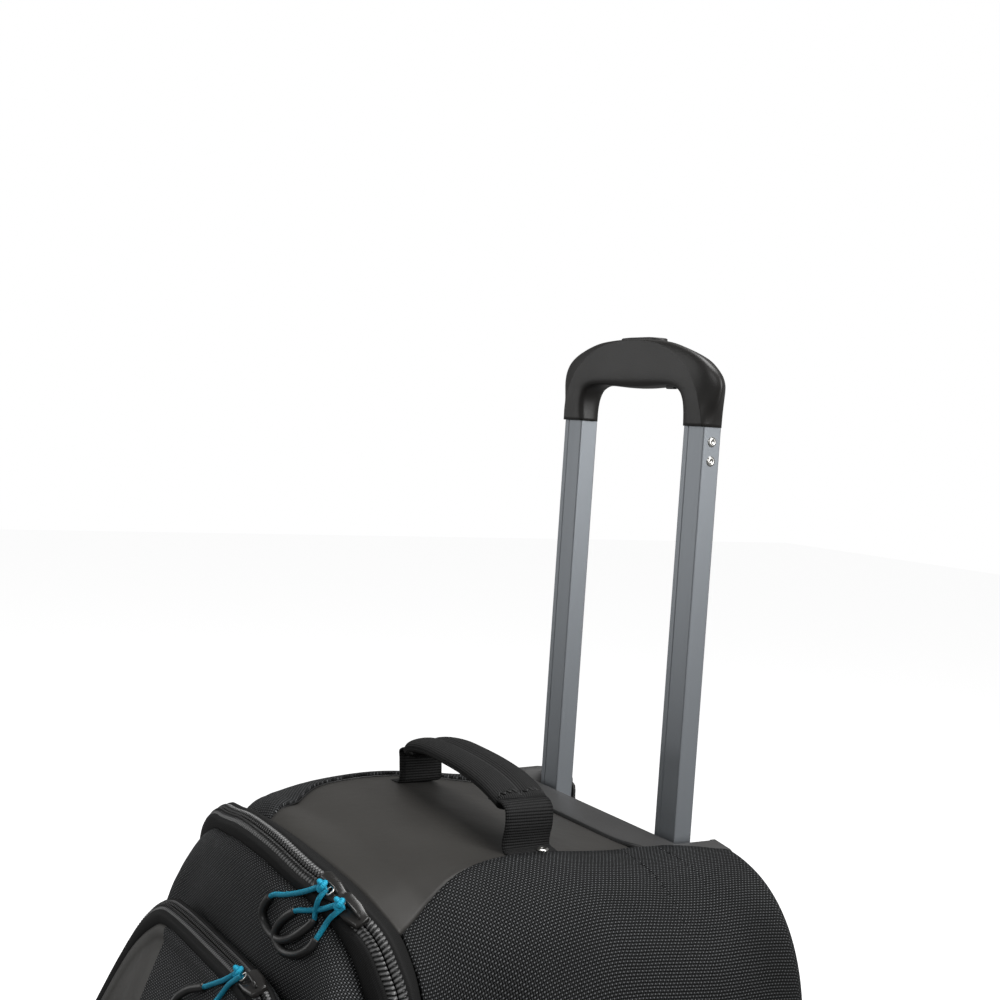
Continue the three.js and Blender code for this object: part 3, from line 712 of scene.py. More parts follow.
def coil_row(name, coil, across, out, sign, width, pitch, proud, body, *nodes):
    """One side of the zip's coil: a bead whose thickness rises and falls once for each turn of the coil."""
    total = lengths(coil)[-1]
    count = int(total / pitch * 5)
    t0 = lengths(coil)
    t = np.linspace(0, total, count)
    c, b, o = (columns_at(t, t0, v) for v in (coil, across, out))
    wave = np.abs(np.cos(math.pi * t / pitch)) ** 1.2
    profile = [(0.0, 0.55), (0.05, 0.84), (0.22, 1.0), (0.45, 1.0), (0.70, 0.82), (0.92, 0.50), (1.0, 0.05)]
    lines = []
    for w, h in profile:
        skew = proud * h * (0.4 + 0.6 * np.roll(wave, int(w * 2)))
        lines.append(c + b * sign * (COIL_GAP + w * width) + o * skew[:, None])
    g = np.stack(lines, 1)
    run = t * MM
    uv = np.stack(np.broadcast_arrays(np.linspace(0, width, len(profile))[None, :] * MM, run[:, None]), -1)
    o = sheet_mesh(name, g, uv, COIL if width > 5.5 else COIL_SMALL, flip=sign < 0)
    return place(o, body, "zip_coil", *nodes)


MAIN_WIDTH = 6.0
MAIN_PITCH = 2.9
main_line = hermite(both_sides(MAIN_ZIP), 420)
main_coil, main_tape = main_line[:, 0:3], main_line[:, 6:9]
main_crease = main_coil + (main_line[:, 3:6] - main_coil) * 0.78
main_across, main_out = zip_frame(main_coil, main_crease, main_tape)
for name, sign, body, node in (("back", 1.0, "bag", "main_zip_body_row"),
                               ("front", -1.0, "lid", "main_zip_lid_row")):
    coil_row(f"main_zip_coil_{name}", main_coil, main_across, main_out, sign, MAIN_WIDTH, MAIN_PITCH, 3.0,
             body, node)


def zip_edge(coil, across, out, sign, width, rise):
    """The tape beside a coil row: under the row, then up to a rim at its far side."""
    return [coil + across * sign * 0.4 - out * 0.6, coil + across * sign * width * 0.8 - out * 0.4,
            coil + across * sign * (width + rise[0]) + out * rise[1]]


behind = bulged(main_coil + main_across * (MAIN_WIDTH + 2.6) + main_out * 0.5, main_tape, main_out, 1.6)
lines = [*zip_edge(main_coil, main_across, main_out, 1, MAIN_WIDTH, (1.2, 1.1)), *behind,
         main_tape - main_out * 3.0]
strip("main_zip_tape_back", lines, TAPE, "bag", "zip_coil")
ahead_of = bulged(main_coil - main_across * (MAIN_WIDTH + 2.2) + main_out * 0.2, main_crease, main_out, 2.2,
                  power=0.7)
lines = [*zip_edge(main_coil, main_across, main_out, -1, MAIN_WIDTH, (1.2, 1.1)), *ahead_of,
         main_crease - main_out * 3.0]
strip("main_zip_welt_front", lines[::-1], BAND, "lid", "zip_coil")

# ---- lid

LID_FACE = ((0, -139, 612), (28, -138.5, 611), (44, -138, 609), (57, -137, 606), (72, -136, 601),
            (87, -134.5, 594), (98, -134, 587), (108, -134.5, 578), (115, -136.5, 569), (121, -139, 560),
            (128, -142, 546), (134, -146, 524), (138, -149, 498), (141, -150, 455), (143, -150, 375),
            (143, -150, 250), (143, -150, 106), )


def face_line(zip_knots, face_knots, count):
    """The edge of a face, with its points beside those of the zip round it."""
    return hermite(both_sides([[c, f] for (c, _, _), f in zip(zip_knots, face_knots)]), count)[:, 3:6]


def face_skin(name, crease, face, depth, middle, ease, material, body, slot, nodes, thick, turn_rows=9,
              face_rows=16):
    """A skin from the crease forward, round the edge and in to the middle of the face."""
    rows, uv = [], []
    d = face - crease
    inward = d * (1, 0, 1)
    forward = d * (0, 1, 0)
    flat = np.linalg.norm(inward, axis=1)
    way = -inward / (flat[:, None] + 1e-9)
    turned = []
    for t in np.linspace(0, math.pi / 2, turn_rows):
        turned.append(crease + forward * math.sin(t) + inward * (1 - math.cos(t)))
    turned = np.array(turned)
    back_run = np.concatenate([np.cumsum(np.linalg.norm(np.diff(turned, axis=0), axis=2)[::-1], axis=0)[::-1],
                               np.zeros((1, len(face)))])
    for p, run in zip(turned, back_run):
        rows.append(p)
        uv.append((face[:, [0, 2]] + way[:, [0, 2]] * run[:, None]) * MM)
    for t in np.linspace(0, 1, face_rows + 1)[1:]:
        high = np.clip(face[:, 2] - middle[1], 0, None)
        target = np.stack([face[:, 0] * middle[0], np.full(len(face), depth),
                           face[:, 2] - high * (1 - middle[2])], 1)
        p = face + (target - face) * t
        p[:, 1] = depth + (face[:, 1] - depth) * np.clip(1 - t / ease[1], 0, 1) ** ease[0]
        rows.append(p)
        uv.append(p[:, [0, 2]] * MM)
    o = sheet_mesh(name, rows, uv, material, flip=True)
    thicken(o, thick)
    return place(o, body, slot, *nodes), np.array(rows)


lid_face = face_line(MAIN_ZIP, LID_FACE, 420)
face_skin("lid_skin", main_crease - main_out * 0.6, lid_face, -150.5, (0.0, 330, 0.0), (2.2, 0.8), WOVEN_FINE_LIT,
                          "lid", "woven_nylon", ("lid_panel",), 3)

# ---- pocket

POCKET_ZIP = (
    # coil, crease in front, edge behind at the lid
    ((0, -155.5, 567), (0, -165, 557), (0, -146.5, 566.5)),
    ((33, -155.5, 567), (31, -165, 557), (33, -146.5, 566.5)),
    ((66, -156, 566.5), (62, -165.2, 556), (68, -147, 566)),
    ((85, -157, 565), (79, -166.5, 553), (88, -147.5, 564)),
    ((97, -158.5, 560.5), (88, -168.5, 547), (101, -148, 559)),
    ((107, -161, 553), (96, -171.5, 540), (111, -148.5, 552)),
    ((114, -165, 543), (102, -177, 530), (118, -149, 542)),
    ((118, -171, 528), (107, -184, 515), (122, -149.5, 527)),
    ((120, -180, 508), (110, -193, 496), (124, -150, 508)),
    ((121.5, -190, 485), (113, -202, 474), (125, -150, 485)),
    ((122, -198, 460), (115, -209, 450), (125, -150, 460)),
    ((122.5, -201, 430), (116, -212, 425), (125, -150, 430)),
    ((123, -202, 380), (116.5, -213, 380), (125, -150, 380)),
    ((123, -202, 250), (116.5, -213, 250), (125, -150, 250)),
    ((123, -202, 158), (116.5, -213, 158), (125, -150, 158)),
)
pocket_line = hermite(both_sides(POCKET_ZIP), 320)
p_coil, p_back = pocket_line[:, 0:3], pocket_line[:, 6:9]
p_crease = p_coil + (pocket_line[:, 3:6] - p_coil) * 0.78
p_across, p_out = zip_frame(p_coil, p_crease, p_back)
WIDE = 5.0
coil_row("pocket_zip_coil_back", p_coil, p_across, p_out, 1.0, WIDE, 2.5, 2.6, "lid", "pocket_zip")
coil_row("pocket_zip_coil_front", p_coil, p_across, p_out, -1.0, WIDE, 2.5, 2.6, "pocket_flap")
start = p_coil + p_across * (WIDE + 2.2) - p_out * 0.2
strip("pocket_tape_back", [*zip_edge(p_coil, p_across, p_out, 1, WIDE, (1.0, 0.9)), start], TAPE, "lid",
      "zip_coil")
gusset = [start + (p_back - start) * t + p_out * math.sin(math.pi * t) for t in np.linspace(0, 1, 8)]
strip("pocket_gusset_skin", gusset, WOVEN_FINE_LIT, "lid", "woven_nylon", "pocket_gusset", thick=2)
lower = bulged(p_coil - p_across * (WIDE + 1.9), p_crease, p_out, 2.0, power=0.7)
welt = [*zip_edge(p_coil, p_across, p_out, -1, WIDE, (1.0, 0.9)), *lower, p_crease - p_out * 3]
strip("pocket_welt_front", welt[::-1], BAND, "pocket_flap", "zip_coil")

POCKET_FACE = tuple((c[0] * 0.93, c[1] - 1.5, c[2] - 7 if c[2] > 430 else c[2]) for _, c, _ in POCKET_ZIP)
pocket_face = face_line(POCKET_ZIP, POCKET_FACE, 320)
pocket, pocket_rows = face_skin("pocket_skin", p_crease - p_out * 0.6, pocket_face, -215.5, (0.0, 330, 0.0),
                                (1.25, 0.5), WOVEN_FINE_LIT, "pocket_flap", "woven_nylon", ("pocket_front",), 3,
                                face_rows=22)
pocket.data.materials.append(COATED)
across_rows = pocket_rows.shape[1] - 1
for i, p in enumerate(pocket.data.polygons):
    if i // across_rows < 19 and abs(pocket_face[i % across_rows, 0]) > 66:
        p.material_index = 1

# ---- trim tray, tubes, grip


def rounded_plan(x0, x1, y0, y1, r, steps=8):
    pts = []
    for cx, cy, a0 in ((x1 - r, y0 + r, -90), (x1 - r, y1 - r, 0), (x0 + r, y1 - r, 90),
                       (x0 + r, y0 + r, 180)):
        for i in range(steps + 1):
            a = math.radians(a0 + 90 * i / steps)
            pts.append((cx + r * math.cos(a), cy + r * math.sin(a)))
    return np.array(pts)


def tray_loop(x0, x1, y0, y1, r, height):
    corner = rounded_plan(x0, x1, y0, y1, r, 6).reshape(4, 7, 2)
    back_x = np.concatenate([[93.55, 93.4], np.linspace(80, -80, 9), [-87.9, -88.05]])
    back = np.column_stack([np.minimum(back_x, x1 - r), np.full(len(back_x), y1)])
    front = np.column_stack([np.linspace(x0 + r, x1 - r, 26)[1:-1], np.full(24, y0)])
    p = np.vstack([corner[0], corner[1], back, corner[2], corner[3], front])
    z = height(p[:, 0], p[:, 1])
    low = np.zeros(len(p), bool)
    low[15:26] = True
    return np.column_stack([p, z]), low


def tray_top(x, y):
    z = 630 - 3.2 * np.clip((147.5 - y) / 31.5, 0, 1) ** 1.3
    z = z - 0.0155 * np.clip(x - 101, 0, 60) ** 2 - 1.5 * np.clip((x - 88) / 14, 0,
                                                                  1) * np.clip((y - 160) / 20, 0, 1)
    return z - np.where(x < -126, 5 * np.clip((-126 - x) / 12, 0, 1) ** 2, 0)


rows = []
for inset, drop in ((0, 22), (0, 3.0), (0.3, 1.2), (1.0, 0.3), (2.0, 0)):
    q, low = tray_loop(-138 + inset, 134 - inset, 116 + inset, 188 - inset, 24 - inset, tray_top)
    q[:, 2] -= drop
    rows.append(q)
hole, low = tray_loop(-122, 94, 149.5, 182, 0.6, tray_top)
for t in (0.25, 0.5, 0.75, 0.94):
    q = rows[4] * (1 - t) + hole * t
    q[:, 2] = tray_top(q[:, 0], q[:, 1])
    rows.append(q)
rows.append(hole - (0, 0, 0.2))
rows.append(hole * (0.995, 1, 1) + (0, 0.3, -1.2))
for r in rows:
    r[low, 2] = np.minimum(r[low, 2], 610.5)
floor_ring = hole * (0.99, 1, 0) + (0, 0.3, 610.4)
rows.append(floor_ring)
rows.append(floor_ring * (0.5, 0.2, 1) + (0, 165.5 * 0.8, 0))
tray = remade(sheet_mesh("trim_tray_moulding", rows, None, TRIM, wrap=True))
m = tray.modifiers.new("edges", "EDGE_SPLIT")
m.split_angle = math.radians(50)
place(tray, "bag", "trim_plastic", "trim_tray")

piping = hermite([(-86, 119, 627.6), (-74, 116.5, 627.6), (-40, 115.2, 627.8), (0, 115, 628),
                  (40, 115.2, 627.8), (62, 115.8, 627.6), (76, 117.5, 627.8), (86, 121, 627.8),
                  (93, 126.5, 626.4), (97, 132, 623.5)], 120)
place(swept("tray_piping", piping, (0, 0, 1), round_section(2.3, 10), PIPING), "bag", "rubber")

TUBE_X, TUBE_Y = 75.0, 162.0
TUBE_W, TUBE_D = 22.7, 15.9


def tube_ring(w, d, c):
    """A tube's outline with small round corners and a groove down the front."""
    a, b = w / 2, d / 2
    g = -a + w * 0.26
    pts = [(-a + c, -b), (g - 1.0, -b), (g - 0.4, -b + 0.5), (g + 0.4, -b + 0.5), (g + 1.0, -b), (a - c, -b),
           (a - c * 0.3, -b + c * 0.3), (a, -b + c), (a, b - c), (a - c * 0.3, b - c * 0.3), (a - c, b),
           (-a + c, b), (-a + c * 0.3, b - c * 0.3), (-a, b - c), (-a, -b + c), (-a + c * 0.3, -b + c * 0.3)]
    return np.array(pts)


def upright(name, section, x, y, z0, z1, material):
    s = np.asarray(section, float)
    heights = np.linspace(z0, z1, 6)
    g = [np.column_stack([s + (x, y), np.full(len(s), z)]) for z in heights]
    o = sheet_mesh(name, g, None, material, wrap=True)
    for p in o.data.polygons:
        p.use_smooth = False
    return o


for side_name, side in SIDES:
    x = side * TUBE_X
    tube = upright(f"handle_tube_{side_name}", tube_ring(TUBE_W, TUBE_D, 0.8), x, TUBE_Y, 396, 927.5,
                   TUBE_METAL)
    place(thicken(tube, 1.2), "handle", "anodised", f"inner_tube_{side_name}")
    face = x + side * TUBE_W / 2
    for z, row in ((916.3, "upper"), (902.6, "lower")):
        dome = [(0.0, 0.55), (1.0, 0.5), (1.3, 0.75), (1.8, 1.25), (2.6, 1.15), (3.3, 0.8), (3.7, 0.25),
                (3.7, -0.2), (0.0, -0.2)]
        rivet = lathe(f"rivet_head_{side_name}_{row}", dome, (face, TUBE_Y, z), (side, 0, 0), STEEL, 32)
        place(rivet, "handle", "steel", f"rivet_{side_name}_{row}")

GRIP_LINE = (
    # x and z of the front crease, the front corner, the outermost point, the back edge and the inside;
    # then the front face's y and the back face's y
    (86.0, 926.8, 87.3, 926.8, 87.6, 926.8, 87.4, 926.8, 61.6, 926.8, 152.0, 173.8),
    (84.5, 937, 87.4, 937, 90.6, 936.5, 87, 936, 62.0, 937, 151, 174.4),
    (82, 945, 87.3, 944.5, 94, 943.5, 86.7, 944, 61, 945, 150.3, 175.2),
    (79.5, 951.5, 87.3, 951.3, 96, 951, 86.5, 951.5, 58, 950.5, 150, 176),
    (75.5, 958, 87.2, 958.7, 96.5, 957.5, 85, 958, 53.5, 953.5, 149.6, 177),
    (71, 964.2, 86, 966.3, 94, 963.5, 81, 963.8, 48, 954.8, 149.3, 177.5),
    (65.5, 969.8, 82.5, 972.3, 89, 968.8, 75, 969, 41, 955.2, 149.2, 177.5),
    (58.5, 975, 76.5, 976.9, 82, 973.8, 68, 973.4, 34, 955, 149.2, 177.5),
    (50.5, 979.7, 68.3, 981, 73, 977.6, 59, 977.7, 27, 954.6, 149.2, 177.5),
    (42, 983.4, 57.5, 984.6, 61.5, 981.5, 47, 981.8, 20.5, 954.2, 149.2, 177.5),
    (31, 986.6, 43.3, 987.8, 46, 985.8, 32, 985.8, 14, 953.8, 149.2, 177.5),
    (16, 988.8, 22, 989.6, 26, 989, 17, 988.2, 7, 953.6, 149.2, 177.5),
    (0, 989.4, 0, 990, 0, 989.9, 0, 988.8, 0, 953.5, 149.2, 177.5),
)
half = np.array(GRIP_LINE, float)
mirror = np.array((-1, 1, -1, 1, -1, 1, -1, 1, -1, 1, 1, 1), float)
stations = np.vstack([half, half[-2::-1] * mirror])
stations = hermite(np.column_stack([stations[:, 0:2], np.zeros(len(stations)), stations]), 96)[:, 3:]
rows = []
for row in stations:
    crease_p, corner_p, outer_p, back_p, inner_p = row[0:2], row[2:4], row[4:6], row[6:8], row[8:10]
    front, back = row[10], row[11]
    deep = back - front
    ring = []
    for start, end, t, y in (
        (inner_p, crease_p, 0, front + deep * 0.3),
        (inner_p, crease_p, 0.03, front + deep * 0.06),
        (inner_p, crease_p, 0.3, front),
        (inner_p, crease_p, 0.96, front - 0.1),
        (inner_p, crease_p, 1.0, front - 0.2),
        (crease_p, corner_p, 1.0, front + 2.6),
        (corner_p, outer_p, 1.0, front + deep * 0.33),
        (outer_p, back_p, 0.25, front + deep * 0.5),
        (outer_p, back_p, 1.0, back - deep * 0.17),
        (back_p, inner_p, 0.3, back),
        (back_p, inner_p, 0.75, back - deep * 0.04),
        (back_p, inner_p, 1.0, back - deep * 0.25),
    ):
        x, z = start + (end - start) * t
        ring.append((x, y, z))
    rows.append(chaikin(ring, 2))
grip = remade(sheet_mesh("grip_shell", rows, None, GRIP, wrap=True), fill=True)
place(grip, "handle", "black_plastic", "grip_moulding")
# a black block where the drain slot is: its darkness is painted shade in place of a cut slot
slot_shade_block = upright("grip_drain_slot", rounded_plan(-5, 5, -1.6, 1.6, 1.2, 3), 43, 157, 953.2, 957, PIPING)
place(slot_shade_block, "handle", "black_plastic")

button_rows = []
plan = rounded_plan(-24, 24, -6.5, 6.5, 6)
for k, z in ((1, 984), (1, 990.4), (0.985, 991.0), (0.94, 991.4), (0.6, 991.9), (0.05, 992.1)):
    q = plan * (k, k ** 0.5 if k > 0.5 else k)
    button_rows.append(np.column_stack([q + (0, TUBE_Y), np.full(len(q), z)]))
button = sheet_mesh("release_button", button_rows, None, BLACK, wrap=True)
place(button, "release", "black_plastic", "grip_button")

# ---- grab handle

pad_line = hermite([(-82, 41.6, 664), (-78, 41.4, 667), (-68, 40.4, 670.6), (-45, 38, 674.4),
                    (-15, 34.5, 676), (15, 32, 676), (42, 29.5, 674.6), (62, 27.5, 671.8), (73, 26.4, 669),
                    (78.5, 26, 667.2)], 70)
lobe = []
for a in np.linspace(0, 2 * math.pi, 44, endpoint=False):
    ca, sa = math.cos(a), math.sin(a)
    wide = 20.6 * abs(ca) ** 0.72 * (1 if ca > 0 else -1)
    high = 6.6 * abs(sa) ** 0.75 * (1 if sa > 0 else -1)
    cleft = 1.0 - 0.46 * math.exp(-((wide / 3.2) ** 2)) if sa > 0 else 1.0
    lobe.append((wide, high * cleft))
ends = np.abs(np.linspace(-1, 1, 70))
swell = 1 - 0.06 * ends**6
pad = swept("grab_handle_roll", pad_line, (0, 0, 1), lobe, PAD_CLOTH, swell=swell)
place(pad, "grab_handle", "webbing", "grab_handle_pad")
seam = pad_line + (0, 0, 3.2)
place(swept("grab_handle_seam", seam[3:-3], (0, 0, 1), round_section(0.8, 6), THREAD), "grab_handle",
      "webbing")

for side_name, side in SIDES:
    end = pad_line[0] if side < 0 else pad_line[-1]
    y0 = end[1]
    strap = hermite([(end[0] - side * 13, y0, end[2] + 0.6), (end[0] - side * 3, y0, end[2] + 1.2),
                     (end[0] + side * 4, y0, end[2] + 1.4), (end[0] + side * 9.2, y0, end[2] - 2.2),
                     (side * 89.4, y0 - 0.3, 655), (side * 87.6, y0 - 0.5, 646), (side * 87.4, y0 - 0.6, 641),
                     (side * 89, y0 - 0.6, 638.2), (side * 94, y0 - 0.6, 637.3),
                     (side * 103, y0 - 0.6, 635.8)], 44)
    section = chaikin([(-18.4, -1.1), (0, -1.3), (18.4, -1.1), (18.7, 0), (18.4, 1.1), (0, 1.3), (-18.4, 1.1),
                       (-18.7, 0)], 1)
    leg = swept(f"grab_handle_web_{side_name}", strap, (side, 0, 0.35), section, WEBBING)
    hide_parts(f"grab_handle_leg_{side_name}")
    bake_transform(leg)
    stitches = []
    for i in range(17):
        w = -17.6 + i * 35.2 / 16
        rise = 6.6 * (1 - (abs(w) / 19.5) ** 2.78) ** 0.375 * (1.0 - 0.46 * math.exp(-((w / 3.2) ** 2)))
        stitches.append((end[0] - side * (4.2 if i % 2 else 1.0), y0 + w,
                         end[2] + rise + (1.2 if i % 2 else 0.6)))
    zig = swept(f"grab_handle_zigzag_{side_name}", hermite(stitches, 120, even=False), (0, 0, 1),
                round_section(0.8, 6), PIPING)
    place(zig, "grab_handle", "webbing")
    stud = [(0.0, 0.8), (1.4, 0.8), (2.0, 1.5), (3.1, 1.5), (4.2, 0.9), (4.6, 0.1), (0.0, 0.0)]
    snap = lathe(f"grab_handle_snap_{side_name}", stud, (side * 95.5, y0 + 7.5, 638.4), (0, 0, 1), STEEL, 28)
    place(snap, "bag", "slider_metal")

# ---- zip sliders


def slider(name, line, out_v, near, ahead):
    """A slider lying on the coil at the point nearest to near: plate, bridge and the eye for its cord."""
    i = int(np.argmin(np.linalg.norm(line - np.array(near, float), axis=1)))
    c = line[i]
    x = line[i + 3] - line[i - 3]
    x /= np.linalg.norm(x)
    z = out_v[i]
    y = np.cross(z, x)
    plate = np.array([(-12, -4.8), (-9, -7.4), (2, -7.4), (12, -5.0), (12.4, 0), (12, 5.0), (2, 7.4),
                      (-9, 7.4), (-12, 4.8), (-10.5, 0)])
    parts = []
    for height, k in ((1.2, 0.9), (1.9, 1.0), (4.8, 1.0), (5.6, 0.88), (5.9, 0.5), (6.0, 0.02)):
        parts.append(np.column_stack([plate * k, np.full(len(plate), height)]))
    axes = np.array((x, y, z))
    o = sheet_mesh(f"{name}_plate", np.array(parts) @ axes + c, None, GUNMETAL, wrap=True)
    place(bevelled(o, 0.35, 2, 25), name, "slider_metal", name)
    arch = np.array([(-7, 0, 5.0), (-6.4, 0, 6.6), (-2, 0, 7.6), (4, 0, 7.4), (7.4, 0, 6.4), (8, 0, 5.2)])
    arch = hermite((arch * (ahead, 1, 1)) @ axes + c, 22)
    section = chaikin([(-2.4, -1), (2.4, -1), (2.4, 1), (-2.4, 1)], 1)
    place(swept(f"{name}_bridge", arch, y, section, GUNMETAL), name, "slider_metal")
    a = np.linspace(0, 2 * math.pi, 26)
    hoop = np.column_stack([1.9 * np.cos(a) - 5.0 * ahead, 2.6 * np.sin(a) - 2.8, 8.0 + 0.8 * np.sin(a)])
    eye = swept(f"{name}_eye", hoop @ axes + c, z, round_section(0.7, 8), STEEL, caps=False)
    place(eye, name, "slider_metal")


slider("main_slider_upper", main_coil, main_out, (92, -118, 628.8), -1)
slider("main_slider_lower", main_coil, main_out, (113.5, -114, 620.5), 1)
slider("pocket_slider", p_coil, p_out, (72, -156, 566), 1)

# ---- the zip pulls' cords


def knot(name, at, size):
    """A small overhand knot: one strand wound round the cord."""
    t = np.linspace(0, 2 * math.pi, 90, endpoint=False)
    x = np.sin(t) + 2 * np.sin(2 * t)
    y = np.cos(t) - 2 * np.cos(2 * t)
    z = -np.sin(3 * t)
    p = np.stack([x, z * 1.3, y], 1) * size * 0.42 + np.array(at)
    p = np.vstack([p, p[:2]])
    return swept(name, p, (0.3, -1, 0.2), round_section(1.55, 8), CORD, caps=False)


TOWARD = np.array((0.79, -0.36, 0.316))
WAY = TOWARD / np.linalg.norm(TOWARD)
LAID_ON = ("lid_skin", "main_zip", "pocket_skin", "pocket_welt", "pocket_zip", "main_slider", "pocket_slider")


def surface_tree():
    """The surfaces that the cords lie on, as one tree for casting rays."""
    verts, faces = [], []
    for o in bpy.data.objects:
        if o.name.startswith(LAID_ON) and o.type == "MESH" and not o.hide_render:
            base = len(verts)
            verts += [o.matrix_world @ v.co for v in o.data.vertices]
            faces += [[base + i for i in p.vertices] for p in o.data.polygons]
    return BVHTree.FromPolygons(verts, faces)


SURFACE = surface_tree()


def laid_on(path, lift):
    """Moves a cord's line out of the surfaces under it, and in toward them where it floats."""
    shift = []
    for p in path:
        start = Vector((p + WAY * 60) * MM)
        _, _, _, far = SURFACE.ray_cast(start, Vector(-WAY))
        gap = 60 - far / MM if far is not None else -20
        shift.append(float(np.clip(gap + lift, -7, 30)))
    shift = np.array(shift)
    reach = np.array([shift[max(0, i - 4):i + 5].max() for i in range(len(shift))])
    kernel = np.hanning(13)
    eased = np.convolve(np.pad(reach, 6, mode="edge"), kernel / kernel.sum(), mode="valid")
    return path + eased[:, None] * WAY


def pull(name, body, lift, eye, leg_a, leg_b, loop):
    """A cord from its knot down one leg, through the bent sleeve and back up, in place of two CAD solids."""
    eye, a, b = (np.array(q, float) for q in (eye, leg_a, leg_b))
    sag = np.array((0, -1.2, -1.6))
    line = [eye, eye * 0.66 + a * 0.34 + sag, eye * 0.3 + a * 0.7 + sag * 0.6, a,
            *[np.array(q, float) for q in loop], b, eye * 0.3 + b * 0.7 + sag * 0.6,
            eye * 0.66 + b * 0.34 + sag, eye + np.array((3.4, 0.6, -1.2))]
    flat = hermite(line, 130)
    path = laid_on(flat, lift)
    curve = bpy.data.curves.new(name + "_strand", "CURVE")
    curve.dimensions = "3D"
    curve.bevel_depth = 1.7 * MM
    curve.bevel_resolution = 3
    spline = curve.splines.new("POLY")
    spline.points.add(len(path) - 1)
    for q, p in zip(spline.points, path):
        q.co = (*(p * MM), 1)
    curve.materials.append(CORD)
    strand = bpy.data.objects.new(name + "_strand", curve)
    bpy.context.scene.collection.objects.link(strand)
    near_a = int(np.argmin(np.linalg.norm(flat - a, axis=1)))
    near_b = int(np.argmin(np.linalg.norm(flat - b, axis=1)))
    tube = path[near_a:near_b + 1]
    sleeve = swept(name + "_sleeve", tube, (0, -1, 0.3), round_section(2.75, 14), SLEEVE)
    tie = knot(name + "_knot", path[1] + WAY * 0.6, 2.7)
    place(strand, body, "pull_cord", name + "_cord")
    place(sleeve, body, "pull_tube", name + "_grip_tube")
    place(tie, body, "pull_cord")


pull("main_pull_upper", "main_slider_upper", 2.4, (79, -118, 627), (41.5, -135.5, 610.5), (89, -127.5, 610),
     [(40, -140, 601.5), (50, -141, 594.3), (65.5, -140, 592), (78, -137.5, 596.5), (84.5, -132, 603)])
pull("main_pull_lower", "main_slider_lower", 2.4, (104, -118, 624.3), (74, -133, 611.5),
     (98.5, -129.5, 602.5), [(64, -138, 602), (61, -140, 593), (73, -140, 587.5), (88, -137, 590),
                             (97, -132.5, 597)])
pull("pocket_pull", "pocket_slider", 2.4, (58, -161, 572), (30, -172.5, 553), (52, -173.5, 552),
     [(17, -178, 547), (7, -182, 538), (7, -187, 529), (20, -190, 525), (38, -185, 535)])

# ---- hard parts of the base, kept as they are with finishes

FINISH = {"base_tub": (BLACK, 2.0), "back_board": (BLACK, 0.5), "tube_foot": (BLACK, 0.8),
          "tube_collar": (BLACK, 0.6), "foot": (RUBBER, 2.0), "skid_rail": (BLACK, 1.6),
          "wheel_housing": (BLACK, 2.0), "wheel_bearing": (STEEL, 0), "wheel_axle": (STEEL, 0.4),
          "outer_tube": (TUBE_METAL, 0), "slider_block": (BLACK, 0), "lock_pin": (STEEL, 0),
          "push_rod": (STEEL, 0), "release_yoke": (BLACK, 0), }
for name, node in frame["nodes"].items():
    for stem, (material, width) in FINISH.items():
        if name == stem or name in (f"{stem}_left", f"{stem}_right"):
            node.data.materials.clear()
            node.data.materials.append(material)
            if width:
                bevelled(node, width, 3, 35)

AXLE_Y, AXLE_Z = 169, 45
SPOKES = 5

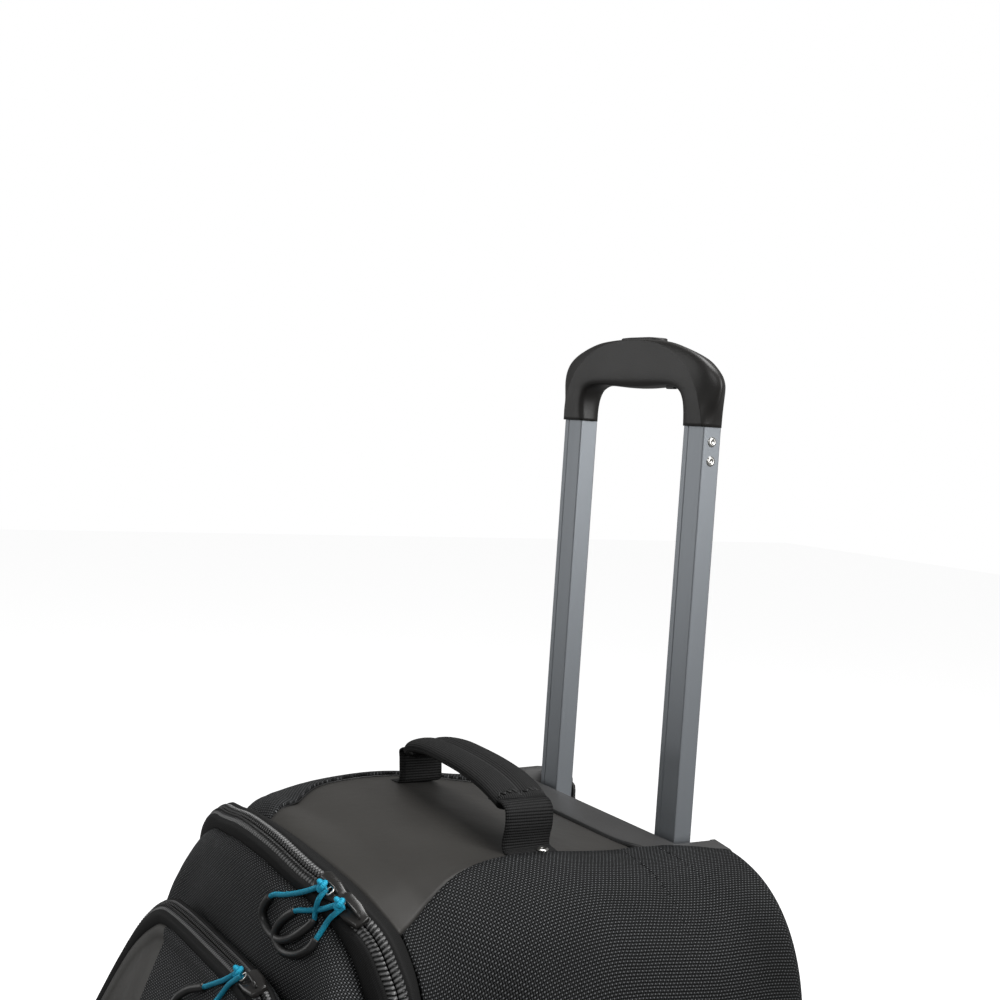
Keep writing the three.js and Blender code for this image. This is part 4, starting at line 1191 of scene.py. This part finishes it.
for side_name, side in SIDES:
    hub = np.array((side * 158.0, AXLE_Y, AXLE_Z))
    wheel = f"wheel_{side_name}"
    tread = [(27.3, -16), (38, -16), (42, -14.5), (44.2, -11.5), (44.9, -8), (45, -5.2), (43.9, -4.8),
             (43.9, -3.6), (45, -3.2), (45, 3.2), (43.9, 3.6), (43.9, 4.8), (45, 5.2), (44.9, 8),
             (44.2, 11.5), (42, 14.5), (38, 16), (27.3, 16), (27.3, -16)]
    place(lathe(f"wheel_tread_{side_name}", tread, hub, (1, 0, 0), TYRE, 96), wheel, "tyre",
          f"wheel_tyre_{side_name}")
    rim = [(22.5, -13), (27, -14), (27, 14), (22.5, 13), (21.8, 9), (21.8, -9), (22.5, -13)]
    boss = [(11.3, -13.5), (14, -13.5), (15, -12), (15, 12), (14, 13.5), (11.3, 13.5), (11.3, -13.5)]
    rim = lathe(f"wheel_rim_{side_name}", rim, hub, (1, 0, 0), TRIM, 72)
    place(rim, wheel, "trim_plastic", f"wheel_hub_{side_name}")
    place(lathe(f"wheel_boss_{side_name}", boss, hub, (1, 0, 0), TRIM, 48), wheel, "trim_plastic")
    for i in range(SPOKES):
        a = 2 * math.pi * i / SPOKES + 0.3
        d = np.array((0, math.cos(a), math.sin(a)))
        e = np.array((0, -math.sin(a), math.cos(a)))
        g = []
        for r, w, t in ((14, 4.6, 10), (18, 3.4, 9), (22.5, 4.2, 10.5)):
            g.append([hub + d * r + e * w * a + np.array((t * b, 0, 0)) for a,
                      b in ((1, 1), (-1, 1), (-1, -1), (1, -1))])
        spoke = sheet_mesh(f"wheel_spoke_{side_name}_{i}", g, None, TRIM, wrap=True)
        place(bevelled(spoke, 0.8, 2, 40), wheel, "trim_plastic")

# ---- studio

floor = mesh_object("studio_floor", [(-9000, -9000, 0), (9000, -9000, 0), (9000, 9000, 0), (-9000, 9000, 0)],
                    [(0, 1, 2, 3)], material=STUDIO, smooth=False)
floor.visible_diffuse = False
floor.visible_glossy = False
STUDIO.node_tree.nodes["Principled BSDF"].inputs["Emission Color"].default_value = (1, 1, 1, 1)
STUDIO.node_tree.nodes["Principled BSDF"].inputs["Emission Strength"].default_value = 0.78

world = bpy.data.worlds.new("studio")
world.use_nodes = True
sky = world.node_tree
rays = sky.nodes.new("ShaderNodeLightPath")
glow = sky.nodes.new("ShaderNodeMapRange")
glow.inputs["To Min"].default_value = 0.20
glow.inputs["To Max"].default_value = 1.0
sky.links.new(rays.outputs["Is Camera Ray"], glow.inputs["Value"])
sky.links.new(glow.outputs[0], sky.nodes["Background"].inputs["Strength"])
sky.nodes["Background"].inputs["Color"].default_value = (1, 1, 1, 1)
bpy.context.scene.world = world


def softbox(name, at, target, size, power):
    lamp = bpy.data.lights.new(name, "AREA")
    lamp.shape = "RECTANGLE"
    lamp.size, lamp.size_y = size
    lamp.energy = power
    o = bpy.data.objects.new(name, lamp)
    bpy.context.scene.collection.objects.link(o)
    o.location = at
    o.rotation_mode = "QUATERNION"
    o.rotation_quaternion = (Vector(target) - Vector(at)).to_track_quat("-Z", "Y")


SOFTBOXES = (
    # name, place, target's height, size, power
    ("key", (2.0, 0.9, 1.5), 0.7, (1.0, 1.6), 36),
    ("front", (1.1, -1.8, 1.9), 0.65, (0.8, 0.8), 10),
    ("fill", (-1.6, -1.6, 1.2), 0.7, (1.2, 1.6), 10),
    ("top", (0.1, 0.3, 2.4), 0.7, (1.0, 1.0), 26),
)
for name, at, height, size, power in SOFTBOXES:
    softbox(name, at, (0, 0, height), size, power)

scene = bpy.context.scene
scene.view_settings.view_transform = "Standard"
scene.view_settings.exposure = 0.0
